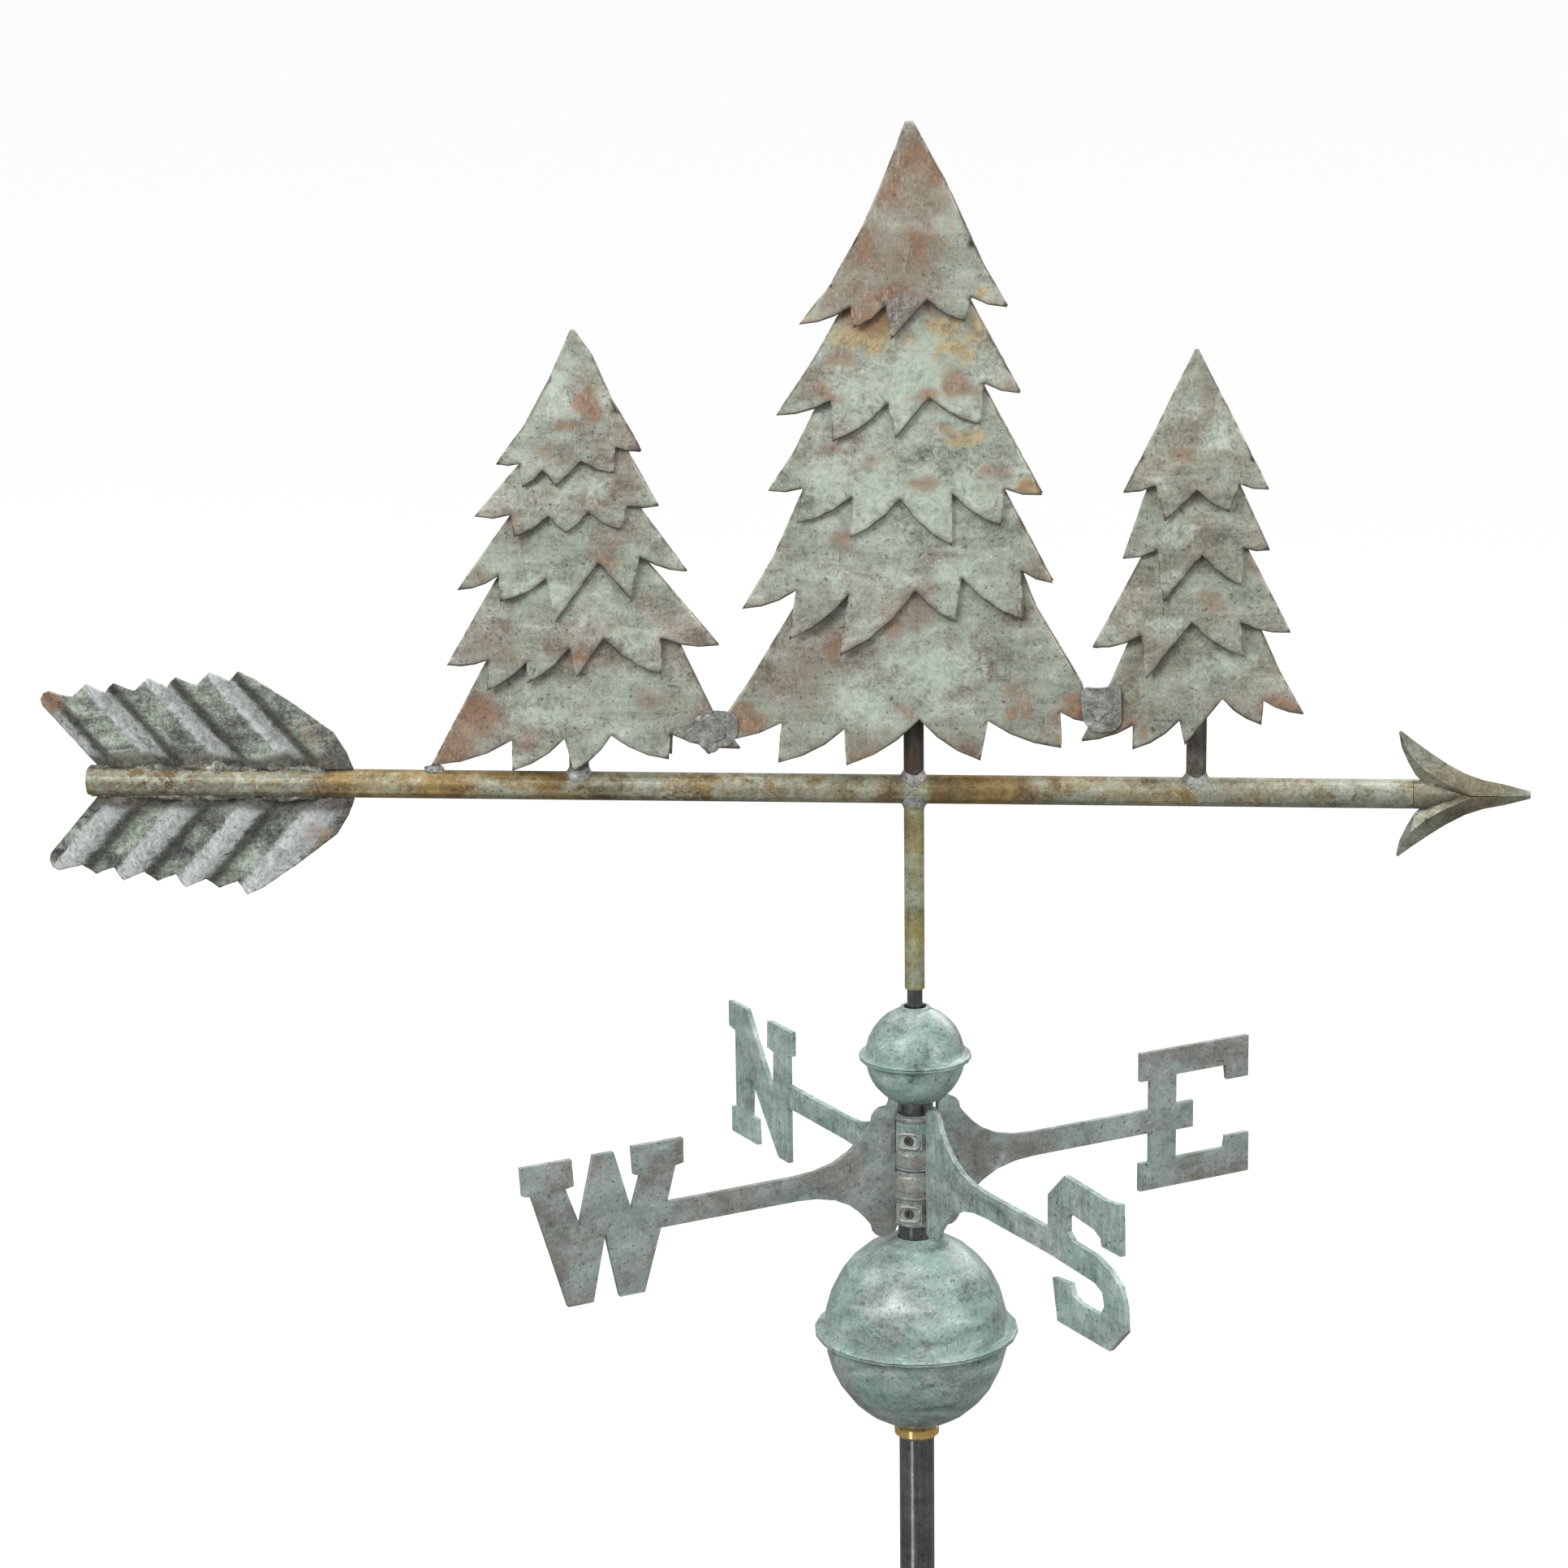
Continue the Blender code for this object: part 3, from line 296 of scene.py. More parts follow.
def tree_patina(name, warm=TREE_WARM, cool=TREE_COOL, lean=0.5):
    """The trees' patina, with stains, a rim of wear and painted edge highlight and shade, and a painted
    shade line under each fold.
    """
    finish = patina(name, warm, cool, lean)
    stained(finish, "mint", (170, 187, 168), (208, 219, 203), 0.85, 0.38)
    stained(finish, "brown", (104, 84, 62), (150, 126, 102), 0.7, 0.32)
    stained(finish, "ochre", (158, 128, 78), (206, 186, 138), 0.85, 0.25)
    stained(finish, "rust", (110, 77, 48), (164, 114, 74), 0.74, 0.38)
    stained(finish, "dark", (86, 83, 80), (164, 161, 156), 0.8, 0.2)
    scratched = finish.grain(finish.stretch(finish.where, (2.2, 1, 0.7)), 7, 9, 0.85, 2.0)
    finish.colour = finish.mix(scratched.ramp_up(0.54, 0.62) * 0.6, finish.colour, paint(206, 204, 196))
    # Along the cut edge, patches chosen by the blotch noise turn pale (wear and a painted edge highlight)
    # or dark (painted edge shade). The foot mark lays a painted shade line along each foot edge.
    rim = 1 - finish.mark("rim").ramp_up(0.1, 1.5)
    worn = finish.blotch.ramp_up(0.44, 0.56)
    finish.colour = finish.mix(rim * worn * 0.6, finish.colour, paint(220, 212, 194))
    finish.colour = finish.mix(rim * (1 - worn) * 0.6, finish.colour, paint(92, 84, 70))
    finish.colour = finish.mix(finish.mark("foot") * 0.8, finish.colour, paint(70, 62, 52))
    finish.feed(finish.shader.inputs["Base Color"], finish.colour)
    return finish


BIG_TREE_PATINA = tree_patina("verdigris_big_tree", lean=0.46)
LEFT_TREE_PATINA = tree_patina("verdigris_left_tree", lean=0.47)
RIGHT_TREE_PATINA = tree_patina(
    "verdigris_right_tree",
    warm=((90, 86, 70), (124, 120, 104), (150, 147, 130), (174, 172, 156), (208, 208, 194)),
    cool=((100, 106, 92), (134, 141, 125), (158, 167, 151), (182, 191, 176), (210, 217, 205)))
FEATHER_DARK = ((58, 58, 57), (92, 95, 90), (126, 134, 123), (158, 170, 155), (194, 202, 191))
FEATHER_LIT_TONES = ((126, 128, 130), (162, 167, 166), (192, 197, 195), (212, 216, 214), (230, 232, 230))
print("tree finishes:", BIG_TREE_PATINA.material.name, len(BIG_TREE_PATINA.tree.nodes), "nodes")

# %% [markdown]
# The other finishes are the same recipe with other tones. Tubes are browned copper with
# mint washes along them, the globes are teal with mauve clouds, the castings are grey
# brass, and the pole is black satin steel. Real metal shows only where it was left bare,
# so the ring, the plug and the pole are the most metallic.

# %% Other finishes
TUBE_BROWN = patina(
    "browned_tube", ((74, 60, 38), (110, 90, 56), (142, 118, 70), (168, 142, 86), (200, 180, 132)),
    ((104, 104, 84), (136, 138, 116), (164, 168, 148), (186, 192, 174), (212, 216, 202)),
    lean=0.53, streaks=(70, 12, 2), metallic=0.25, roughness=(0.28, 0.5), drift=0.28)
tube_x = TUBE_BROWN.node("ShaderNodeSeparateXYZ", {}, {0: TUBE_BROWN.where}, "X")
heated = 1 - tube_x.ramp_up(arrow_low.x + 0.118, arrow_low.x + 0.142)
washed = tube_x.ramp_up(-0.165, -0.14) * (1 - tube_x.ramp_up(-0.055, -0.03))
ragged = TUBE_BROWN.torn * 0.5 + TUBE_BROWN.blotch * 0.5
pale_end = tube_x.ramp_up(0.03, 0.12)
bloom = (ragged + heated * 0.02).ramp_up(0.44, 0.54) * (heated * 0.9 + washed * 0.7 + pale_end * 0.6)
TUBE_GREY = ((62, 59, 48), (98, 98, 84), (138, 141, 126), (174, 180, 165), (216, 220, 208))
TUBE_BROWN.feed(TUBE_BROWN.shader.inputs["Base Color"], TUBE_BROWN.mix(
    bloom, TUBE_BROWN.colour, TUBE_BROWN.tones(TUBE_BROWN.torn * 1.6 - 0.25, TUBE_GREY)))
POST_BROWN = patina(
    "dark_post", ((44, 40, 35), (66, 60, 52), (84, 76, 66), (108, 98, 86), (158, 152, 140)),
    ((56, 54, 50), (78, 76, 70), (96, 94, 88), (124, 122, 114), (168, 166, 158)),
    streaks=(4, 4, 40), metallic=0.35, roughness=(0.32, 0.55))
BEARING_OLIVE = patina(
    "olive_bearing_tube",
    ((104, 94, 56), (136, 122, 70), (160, 146, 90), (182, 172, 120), (212, 206, 170)),
    ((112, 114, 88), (138, 142, 114), (160, 166, 140), (180, 186, 164), (206, 210, 192)),
    streaks=(4, 4, 30), metallic=0.3, roughness=(0.32, 0.55))
over_arrow = BEARING_OLIVE.node("ShaderNodeSeparateXYZ", {}, {0: BEARING_OLIVE.where}, "Z")
over_arrow = over_arrow.ramp_up(ARROW_HEIGHT, ARROW_HEIGHT + 8 * MM)
BEARING_OLIVE.feed(BEARING_OLIVE.shader.inputs["Base Color"], BEARING_OLIVE.mix(
    over_arrow, BEARING_OLIVE.colour,
    BEARING_OLIVE.tones(BEARING_OLIVE.torn, ((38, 34, 30), (66, 58, 50), (92, 82, 70), (130, 122, 110)))))
print("tube finishes:", TUBE_BROWN.material.name, POST_BROWN.material.name, BEARING_OLIVE.material.name)

# %% [markdown]
# The globes were sprayed rather than brushed, so their clouds are small and a thin coat
# shines over them. The castings are duller, and the solder is the roughest of all. The
# feathers take two sets of tones: painted highlight tones on the folds that face the
# light, and darker tones with a painted shade line in each crease.

# %% Globe, casting and feather finishes
GLOBE_TEAL = patina(
    "verdigris_globe", ((82, 92, 92), (122, 133, 133), (154, 166, 165), (182, 193, 192), (214, 223, 221)),
    ((88, 114, 107), (122, 149, 141), (148, 175, 167), (172, 197, 190), (206, 224, 218)),
    lean=0.47, spread=1.12, brushing=0.2, roughness=(0.22, 0.38), dents=0.14, size=0.72)
GLOBE_TEAL.shader.inputs["Coat Weight"].default_value = 0.35
GLOBE_TEAL.shader.inputs["Coat Roughness"].default_value = 0.28
CAST_GREY = patina(
    "grey_casting", ((94, 90, 84), (122, 118, 111), (144, 142, 135), (163, 164, 159), (192, 197, 193)),
    ((106, 117, 116), (132, 144, 142), (154, 167, 165), (174, 188, 186), (204, 216, 213)),
    lean=0.5, streaks=(10, 10, 6), spread=0.9, roughness=(0.36, 0.6), dents=0.2)
CAST_MINT = patina(
    "mint_casting", ((94, 104, 101), (128, 141, 138), (156, 169, 166), (182, 194, 190), (212, 221, 217)),
    ((104, 126, 119), (136, 160, 153), (162, 184, 178), (184, 205, 199), (212, 228, 222)),
    lean=0.48, streaks=(3, 3, 14), brushing=0.7, roughness=(0.36, 0.6), dents=0.2)
COLLAR_SILVER = patina(
    "silver_collar",
    ((104, 98, 88), (136, 132, 122), (162, 160, 150), (184, 184, 174), (218, 218, 210)),
    ((108, 116, 108), (138, 148, 140), (164, 174, 166), (188, 198, 190), (218, 226, 218)),
    streaks=(10, 10, 2), metallic=0.3, roughness=(0.28, 0.48), dents=0.2)
HEAD_GREY = patina(
    "arrowhead_casting",
    ((84, 80, 62), (114, 108, 88), (138, 130, 106), (160, 152, 128), (196, 192, 174)),
    ((92, 98, 86), (120, 128, 114), (146, 152, 138), (168, 174, 162), (200, 204, 194)),
    lean=0.5, streaks=(24, 6, 2), metallic=0.35, roughness=(0.26, 0.44), dents=0.15)
SOLDER = patina(
    "solder", ((78, 76, 74), (110, 108, 105), (140, 139, 136), (170, 170, 166), (214, 214, 208)),
    ((90, 92, 86), (122, 125, 118), (152, 155, 148), (180, 183, 176), (218, 220, 214)),
    streaks=(4, 4, 4), spread=1.0, metallic=0.2, roughness=(0.32, 0.55), dents=0.2, size=0.45)
POLE_BLACK = patina(
    "black_pole", ((78, 78, 79), (100, 100, 101), (118, 118, 119), (134, 134, 135), (158, 158, 158)),
    ((84, 84, 85), (106, 106, 107), (124, 124, 125), (142, 142, 143), (166, 166, 166)),
    streaks=(2.5, 2.5, 60), spread=0.7, brushing=1.0, metallic=0.9, roughness=(0.2, 0.3), dents=0.05)
DARK_SOLDER = patina(
    "dark_solder", ((46, 42, 36), (74, 68, 58), (104, 98, 86), (138, 134, 122), (190, 190, 178)),
    ((54, 56, 50), (86, 90, 82), (118, 124, 114), (150, 156, 146), (196, 202, 192)),
    streaks=(8, 4, 4), spread=1.6, metallic=0.15, roughness=(0.36, 0.6), dents=0.35, size=0.5)
RING_BRASS = patina(
    "bright_ring", ((190, 148, 78), (218, 176, 98), (238, 200, 122), (246, 216, 146), (252, 232, 180)),
    ((182, 146, 84), (210, 172, 104), (232, 196, 128), (242, 212, 152), (250, 230, 184)),
    streaks=(30, 30, 1), spread=0.6, metallic=0.7, roughness=(0.16, 0.28), dents=0.05)
# Painted light on the feathers: the pale tones are a painted highlight on the fold faces that face the
# light, and the dark stain is the dark seam by the arrow plus a painted shade line in each crease.
FEATHER_PATINA = patina(
    "feather_dark", FEATHER_DARK, FEATHER_DARK, 0.5, spread=1.5, roughness=(0.4, 0.58))
lit = FEATHER_PATINA.mark("pale") + (FEATHER_PATINA.torn - 0.5) * 1.4
FEATHER_PATINA.colour = FEATHER_PATINA.mix(
    lit.ramp_up(0.18, 0.85), FEATHER_PATINA.colour,
    FEATHER_PATINA.tones(0.5 + (FEATHER_PATINA.torn - 0.5) * 2.4 + (FEATHER_PATINA.speckle - 0.5) * 0.9,
                         FEATHER_LIT_TONES))
stained(FEATHER_PATINA, "dark", (44, 44, 40), (104, 104, 96), 0.9, 0.3)
stained(FEATHER_PATINA, "brown", (84, 68, 48), (140, 124, 100), 0.6, 0.3)
stained(FEATHER_PATINA, "rust", (140, 104, 80), (184, 150, 124), 0.9, 0.25)
FEATHER_PATINA.feed(FEATHER_PATINA.shader.inputs["Base Color"], FEATHER_PATINA.colour)
print("materials so far:", len(bpy.data.materials))

# %% [markdown]
# The studio is a wide pale bowl: a flat floor that curves up far behind, with no corner to
# cast a line. It glows faintly itself and is left out of the bounced light, so that the
# undersides of the sheets stay dark as they would over a distant floor. Four softboxes
# light the vane, and a low strip that only shines in gloss draws a line down the pole.

# %% Studio
bowl = bmesh.new()
rings = [(0.0, 0.0), (5.0, 0.0), (6.2, 0.25), (7.2, 1.0), (7.8, 2.4), (8.0, 6.0)]
profile = [bowl.verts.new((radius, 0, height - 0.001)) for radius, height in rings]
edges = [bowl.edges.new(pair) for pair in zip(profile, profile[1:])]
bmesh.ops.spin(bowl, geom=profile + edges, cent=(0, 0, 0), axis=(0, 0, 1),
               angle=math.tau, steps=64, use_duplicate=False)
bmesh.ops.remove_doubles(bowl, verts=bowl.verts, dist=0.0005)
bowl_mesh = bpy.data.meshes.new("floor")
bowl.to_mesh(bowl_mesh)
bowl.free()
bowl_mesh.polygons.foreach_set("use_smooth", [True] * len(bowl_mesh.polygons))
floor = bpy.data.objects.new("floor", bowl_mesh)
bpy.context.scene.collection.objects.link(floor)
FLOOR_PAPER = Finish("pale_paper")
FLOOR_PAPER.shader.inputs["Base Color"].default_value = paint(120, 120, 120)
FLOOR_PAPER.shader.inputs["Roughness"].default_value = 0.9
FLOOR_PAPER.shader.inputs["Emission Color"].default_value = (1, 1, 1, 1)
FLOOR_PAPER.shader.inputs["Emission Strength"].default_value = 0.85
floor.data.materials.append(FLOOR_PAPER.material)
floor.visible_diffuse = False
floor.visible_shadow = False
floor.visible_glossy = False

world = bpy.data.worlds.new("studio")
bpy.context.scene.world = world
world.use_nodes = True
sky = world.node_tree
background = sky.nodes["Background"]
direction = sky.nodes.new("ShaderNodeTexCoord")
parts = sky.nodes.new("ShaderNodeSeparateXYZ")
shade = sky.nodes.new("ShaderNodeMapRange")
shade.inputs["From Min"].default_value = -0.6
shade.inputs["From Max"].default_value = 0.7
shade.inputs["To Min"].default_value = 0.22
shade.inputs["To Max"].default_value = 0.62
sky.links.new(direction.outputs["Generated"], parts.inputs[0])
sky.links.new(parts.outputs["Z"], shade.inputs["Value"])
sky.links.new(shade.outputs["Result"], background.inputs["Color"])
AIM = Vector((0, 0, ARROW_HEIGHT))


def softbox(name, place, size, watts):
    """A square area light that faces the middle of the object."""
    light = bpy.data.lights.new(name, "AREA")
    light.shape = "SQUARE"
    light.size = size
    light.energy = watts
    lamp = bpy.data.objects.new(name, light)
    lamp.location = place
    lamp.rotation_euler = (AIM - Vector(place)).to_track_quat("-Z", "Y").to_euler()
    bpy.context.scene.collection.objects.link(lamp)
    return lamp


softbox("key_light", (-1.6, -2.4, 2.6), 1.4, 52)
softbox("right_fill", (2.6, -1.8, 1.6), 1.2, 26)
softbox("top_light", (0.0, 0.2, 3.4), 1.6, 34)
softbox("back_light", (1.4, 2.6, 2.2), 2.0, 36)
strip = softbox("low_strip", (-0.70, -1.32, -0.55), 0.22, 2.2)
strip.data.shape = "RECTANGLE"
strip.data.size_y = 0.8
strip.visible_diffuse = False

# %% [markdown]
# Each tier of a tree is one thin sheet, domed over the post and cut to a saw edge. The
# model's sheet has the right outline and dome but coarse faces. The outline is read back
# from the model, filled with small triangles, and each point takes its depth from the
# model's own skin. Then the points are evened out, so the dome turns smoothly.

# %% Reading a sheet
def inner_skin(node, facing):
    """The corners and faces of the side of a thin node that faces along +y or -y."""
    mesh = frame["nodes"][node].data
    found = {}
    index = []
    for vert in mesh.vertices:
        key = tuple(round(value / (0.001 * MM)) for value in vert.co)
        index.append(found.setdefault(key, len(found)))
    corners = [Vector(key) * (0.001 * MM) for key in found]
    faces = []
    for polygon in mesh.polygons:
        if polygon.normal.y * facing > 0.5:
            face = [index[v] for v in polygon.vertices]
            if len(set(face)) == 3:
                faces.append(face)
    return corners, faces


def outline(corners, faces):
    """The longest chain of edges that only one face has, as (x, z) points in order."""
    directed = {(f[i], f[(i + 1) % 3]) for f in faces for i in range(3)}
    onward = {a: b for a, b in directed if (b, a) not in directed}
    best = []
    while onward:
        start = next(iter(onward))
        chain = [start]
        step = onward.pop(start)
        while step != start and step in onward:
            chain.append(step)
            step = onward.pop(step)
        if len(chain) > len(best):
            best = chain
    return np.array([(corners[i].x, corners[i].z) for i in best])


print("edge points on the top tier:", len(outline(*inner_skin("big_tree_tier_1_front", 1))))

# %% [markdown]
# Filling starts from the outline itself, cut into even steps. A second ring just inside
# keeps the rim's triangles small, a staggered grid fills the middle, and a constrained
# Delaunay triangulation joins them without crossing the saw edge.

# %% Filling an outline
def edge_distance(points, starts, ends):
    """How far each point is from the nearest of these segments."""
    along = ends - starts
    length = (along ** 2).sum(1)
    away = points[:, None] - starts[None]
    part = np.clip((away * along).sum(2) / np.maximum(length, 1e-12), 0, 1)
    return np.sqrt(((away - part[..., None] * along) ** 2).sum(2)).min(1)


def inside(points, starts, ends):
    """Whether each point is in the outline, by counting the edges it sees to one side."""
    x, z = points[:, :1], points[:, 1:]
    x0, z0, x1, z1 = starts[:, 0], starts[:, 1], ends[:, 0], ends[:, 1]
    spans = (z0 > z) != (z1 > z)
    rise = np.where(z1 == z0, 1e-12, z1 - z0)
    return (spans & (x < (x1 - x0) * (z - z0) / rise + x0)).sum(1) % 2 == 1


def filled(loop, step):
    """A fine triangle mesh of an outline: (points, faces, edge starts, edge ends)."""
    ring = []
    for a, b in zip(loop, np.roll(loop, -1, axis=0)):
        count = max(1, round(float(np.hypot(*(b - a))) / step))
        ring += [a + (b - a) * i / count for i in range(count)]
    ring = np.array(ring)
    starts, ends = ring, np.roll(ring, -1, axis=0)
    tangent = ends - np.roll(ring, 1, axis=0)
    normal = np.stack([-tangent[:, 1], tangent[:, 0]], 1)
    normal /= np.maximum(np.hypot(*normal.T), 1e-12)[:, None]
    area = (starts[:, 0] * ends[:, 1] - ends[:, 0] * starts[:, 1]).sum()
    inset = ring + normal * (0.9 * MM if area > 0 else -0.9 * MM)
    keep = inside(inset, starts, ends) & (edge_distance(inset, starts, ends) > 0.7 * MM)
    low, high = ring.min(0), ring.max(0)
    grid = [(x + (row % 2) * step / 2, z)
            for row, z in enumerate(np.arange(low[1], high[1], step * 0.87))
            for x in np.arange(low[0], high[0], step)]
    grid = np.array(grid)
    clear = inside(grid, starts, ends) & (edge_distance(grid, starts, ends) > 1.9 * MM)
    points = np.vstack([ring, inset[keep], grid[clear]])
    bounds = [(i, (i + 1) % len(ring)) for i in range(len(ring))]
    made = geometry.delaunay_2d_cdt([Vector(p) for p in points], bounds, [], 1, 1e-7)
    return np.array([tuple(p) for p in made[0]]), made[2], starts, ends


def evened(depth, faces, held, times):
    """Depths averaged with their neighbours' a few times, apart from the held points."""
    pairs = np.array([(f[i], f[(i + 1) % 3]) for f in faces for i in range(3)])
    pairs = np.vstack([pairs, pairs[:, ::-1]])
    count = np.maximum(np.bincount(pairs[:, 0], minlength=len(depth)), 1)
    for _ in range(times):
        mean = np.bincount(pairs[:, 0], weights=depth[pairs[:, 1]], minlength=len(depth)) / count
        depth = np.where(held, depth, 0.4 * depth + 0.6 * mean)
    return depth


def ripple(x, z, seed, size):
    """A smooth wave from about -1 to 1, whose swells are about size millimetres across."""
    return noise.noise(Vector((x, seed, z)) / (size * MM))


trial = np.array([(0, 0), (20 * MM, 0), (20 * MM, 20 * MM), (0, 20 * MM)])
print("triangles in a 20 mm square:", len(filled(trial, 3 * MM)[1]))

# %% [markdown]
# Stains are where the copper shows through or the acid pooled. They are listed for each
# tree, in millimetres from its post and above the arrow: a kind, a centre, two radii and a
# strength. Each becomes a soft mark on the mesh that the finish then tears up with its own
# noise. The back of each tree is a mirror of the front with other noise.

# %% Stains
BIG_STAINS = [
    ("brown", 0, 334, 22, 30, 1.1), ("rust", 0, 344, 9, 10, 0.7), ("rust", 13, 338, 7, 13, 0.8),
    ("rust", -9, 329, 9, 12, 0.7), ("brown", -6, 312, 16, 12, 0.6), ("rust", -23, 297, 7, 9, 0.8),
    ("rust", 5, 298, 8, 10, 0.7), ("rust", -33, 261, 10, 6, 1.0), ("rust", -12, 271, 12, 9, 0.8),
    ("rust", -23, 257, 16, 7, 0.8), ("rust", 6, 266, 13, 5, 0.6), ("ochre", 36, 272, 4, 6, 1.0),
    ("ochre", -53, 256, 10, 6, 0.6), ("ochre", 44, 267, 6, 4, 0.5), ("mint", 18, 316, 10, 18, 0.7),
    ("brown", -26, 296, 20, 18, 1.0), ("brown", -20, 270, 30, 14, 1.1), ("dark", -4, 261, 11, 12, 1.8),
    ("ochre", -25, 249, 22, 9, 0.9), ("ochre", -14, 255, 12, 14, 0.9), ("ochre", 36, 258, 7, 11, 1.0),
    ("ochre", 22, 244, 10, 9, 0.8), ("ochre", 18, 257, 12, 6, 0.8), ("mint", 7, 238, 20, 22, 1.0),
    ("mint", -34, 216, 12, 10, 0.8), ("mint", -10, 226, 14, 14, 0.8), ("rust", -40, 237, 10, 8, 0.6),
    ("rust", -47, 218, 10, 5, 0.7), ("rust", 24, 227, 10, 9, 0.8), ("rust", 34, 222, 8, 6, 0.6),
    ("rust", 9, 217, 8, 6, 0.7), ("rust", 51, 221, 9, 6, 0.6), ("brown", -66, 205, 10, 6, 0.7),
    ("rust", -40, 191, 6, 4, 0.8),
    ("rust", 18, 201, 6, 4, 0.7), ("ochre", 30, 198, 15, 6, 0.8), ("rust", -21, 183, 8, 6, 0.7),
    ("rust", 7, 171, 13, 6, 0.7), ("rust", 46, 176, 8, 8, 0.7), ("ochre", 64, 166, 8, 9, 0.9),
    ("rust", 62, 168, 7, 8, 0.6), ("mint", -42, 176, 14, 12, 0.8), ("mint", 12, 159, 20, 10, 0.8),
    ("mint", -25, 149, 12, 9, 0.6),
    ("rust", -40, 140, 6, 6, 0.6), ("brown", 71, 116, 12, 13, 0.8), ("brown", 5, 103, 16, 8, 0.7),
    ("rust", -8, 94, 11, 6, 0.7), ("mint", 20, 125, 11, 8, 0.9), ("mint", -8, 122, 10, 9, 0.6),
    ("rust", -94, 38, 13, 10, 1.0), ("rust", -42, 81, 5, 12, 0.6), ("rust", -3, 46, 8, 6, 0.7),
    ("rust", 60, 50, 11, 11, 0.8), ("rust", 92, 45, 12, 12, 1.0), ("brown", 31, 25, 10, 7, 0.8),
    ("rust", 32, 24, 7, 4, 0.6), ("rust", 79, 28, 5, 7, 0.6), ("rust", -29, 19, 9, 4, 0.7),
    ("rust", 2, 29, 12, 4, 0.8), ("mint", 14, 70, 28, 14, 0.9), ("mint", -29, 52, 20, 12, 0.7),
    ("mint", 4, 220, 50, 30, 0.75), ("mint", 0, 168, 62, 26, 0.7), ("brown", -6, 292, 36, 40, 0.62),
    ("brown", 0, 24, 90, 16, 0.55), ("brown", -60, 60, 26, 26, 0.5),
]
LEFT_STAINS = [
    ("rust", 10, 212, 5, 12, 1.0), ("rust", -2, 205, 5, 4, 0.9), ("brown", -14, 190, 12, 8, 0.6),
    ("mint", -10, 226, 14, 14, 0.7), ("rust", -34, 152, 8, 5, 0.6), ("mint", 6, 168, 16, 8, 0.7),
    ("rust", 20, 130, 9, 6, 0.6), ("brown", -52, 118, 12, 8, 0.6), ("mint", -12, 112, 18, 10, 0.8),
    ("rust", 0, 75, 6, 6, 0.9), ("brown", -38, 78, 14, 8, 0.6), ("mint", 30, 84, 16, 9, 0.7),
    ("rust", -70, 22, 17, 16, 1.2), ("rust", -58, 40, 14, 12, 0.9), ("rust", 74, 37, 9, 12, 1.0),
    ("rust", 80, 22, 9, 8, 0.7), ("mint", -20, 44, 22, 10, 0.8), ("rust", -24, 24, 6, 6, 0.5),
    ("brown", 44, 50, 16, 10, 0.6),
]
RIGHT_STAINS = [
    ("brown", 4, 222, 8, 12, 0.6), ("rust", -10, 186, 7, 6, 0.6), ("mint", 10, 196, 12, 12, 0.6),
    ("rust", 22, 160, 7, 6, 0.5), ("mint", -14, 146, 14, 9, 0.6), ("brown", 30, 128, 10, 8, 0.6),
    ("rust", 6, 108, 8, 5, 0.5), ("mint", -20, 96, 16, 8, 0.6), ("rust", 46, 46, 13, 9, 1.0),
    ("rust", -44, 36, 9, 9, 1.0), ("rust", -28, 34, 7, 7, 0.7), ("brown", 14, 52, 14, 8, 0.6),
    ("mint", 16, 72, 14, 8, 0.7),
]
KINDS = ("rust", "brown", "ochre", "mint", "dark")


def stain_marks(points, post_x, stains, mirrored):
    """How strongly each kind of stain lies at each point, 0 to about 1."""
    x = (points[:, 0] - post_x) / MM * (-1 if mirrored else 1)
    z = (points[:, 1] - ARROW_HEIGHT) / MM
    warp = np.array([(ripple(px, pz, 0.02, 11), ripple(px, pz, 0.05, 11)) for px, pz in points])
    x, z = x + 9 * warp[:, 0], z + 7 * warp[:, 1]
    marks = {kind: np.zeros(len(points)) for kind in KINDS}
    for kind, at_x, at_z, wide, tall, strength in stains:
        near = strength * np.exp(-((x - at_x) / wide) ** 2 - ((z - at_z) / tall) ** 2)
        marks[kind] = np.maximum(marks[kind], near)
    return marks


print("stains on the three trees:", len(BIG_STAINS), len(LEFT_STAINS), len(RIGHT_STAINS))

# %% [markdown]
# The sheets are solidified outwards, to the thickness that a hand can cut with snips.
# Their saw edges were lifted a little by the snips, so each foot edge curls towards the
# viewer, and a slow ripple keeps the light from lying flat.

# %% Sheets
SHEET_THICKNESS = 0.8 * MM


def sheet_piece(name, places, faces, marks, outward, finish, thickness):
    """A thin sheet of metal from its skin, grown outwards."""
    mesh = bpy.data.meshes.new(name)
    mesh.from_pydata(places, [], faces)
    if sum(p.normal.y * p.area for p in mesh.polygons) * outward < 0:
        mesh.flip_normals()
    mesh.polygons.foreach_set("use_smooth", [True] * len(mesh.polygons))
    for kind, values in marks.items():
        mesh.attributes.new(kind, "FLOAT", "POINT").data.foreach_set("value", values)
    mesh.materials.append(finish.material)
    piece = bpy.data.objects.new(name, mesh)
    bpy.context.scene.collection.objects.link(piece)
    solid = piece.modifiers.new("thickness", "SOLIDIFY")
    solid.thickness = thickness
    solid.offset = 1
    solid.use_even_offset = False
    return piece


def skin_depth(points, corners, faces):
    """The depth of the model's skin under each (x, z) point."""
    flat = BVHTree.FromPolygons([(c.x, 0, c.z) for c in corners], faces)
    depth = []
    for x, z in points:
        place, _, face, _ = flat.find_nearest((x, 0, z))
        a, b, c = (corners[i] for i in faces[face])
        flats = [Vector((v.x, 0, v.z)) for v in (a, b, c)]
        depth.append(geometry.barycentric_transform(place, *flats, a, b, c).y)
    return np.array(depth)


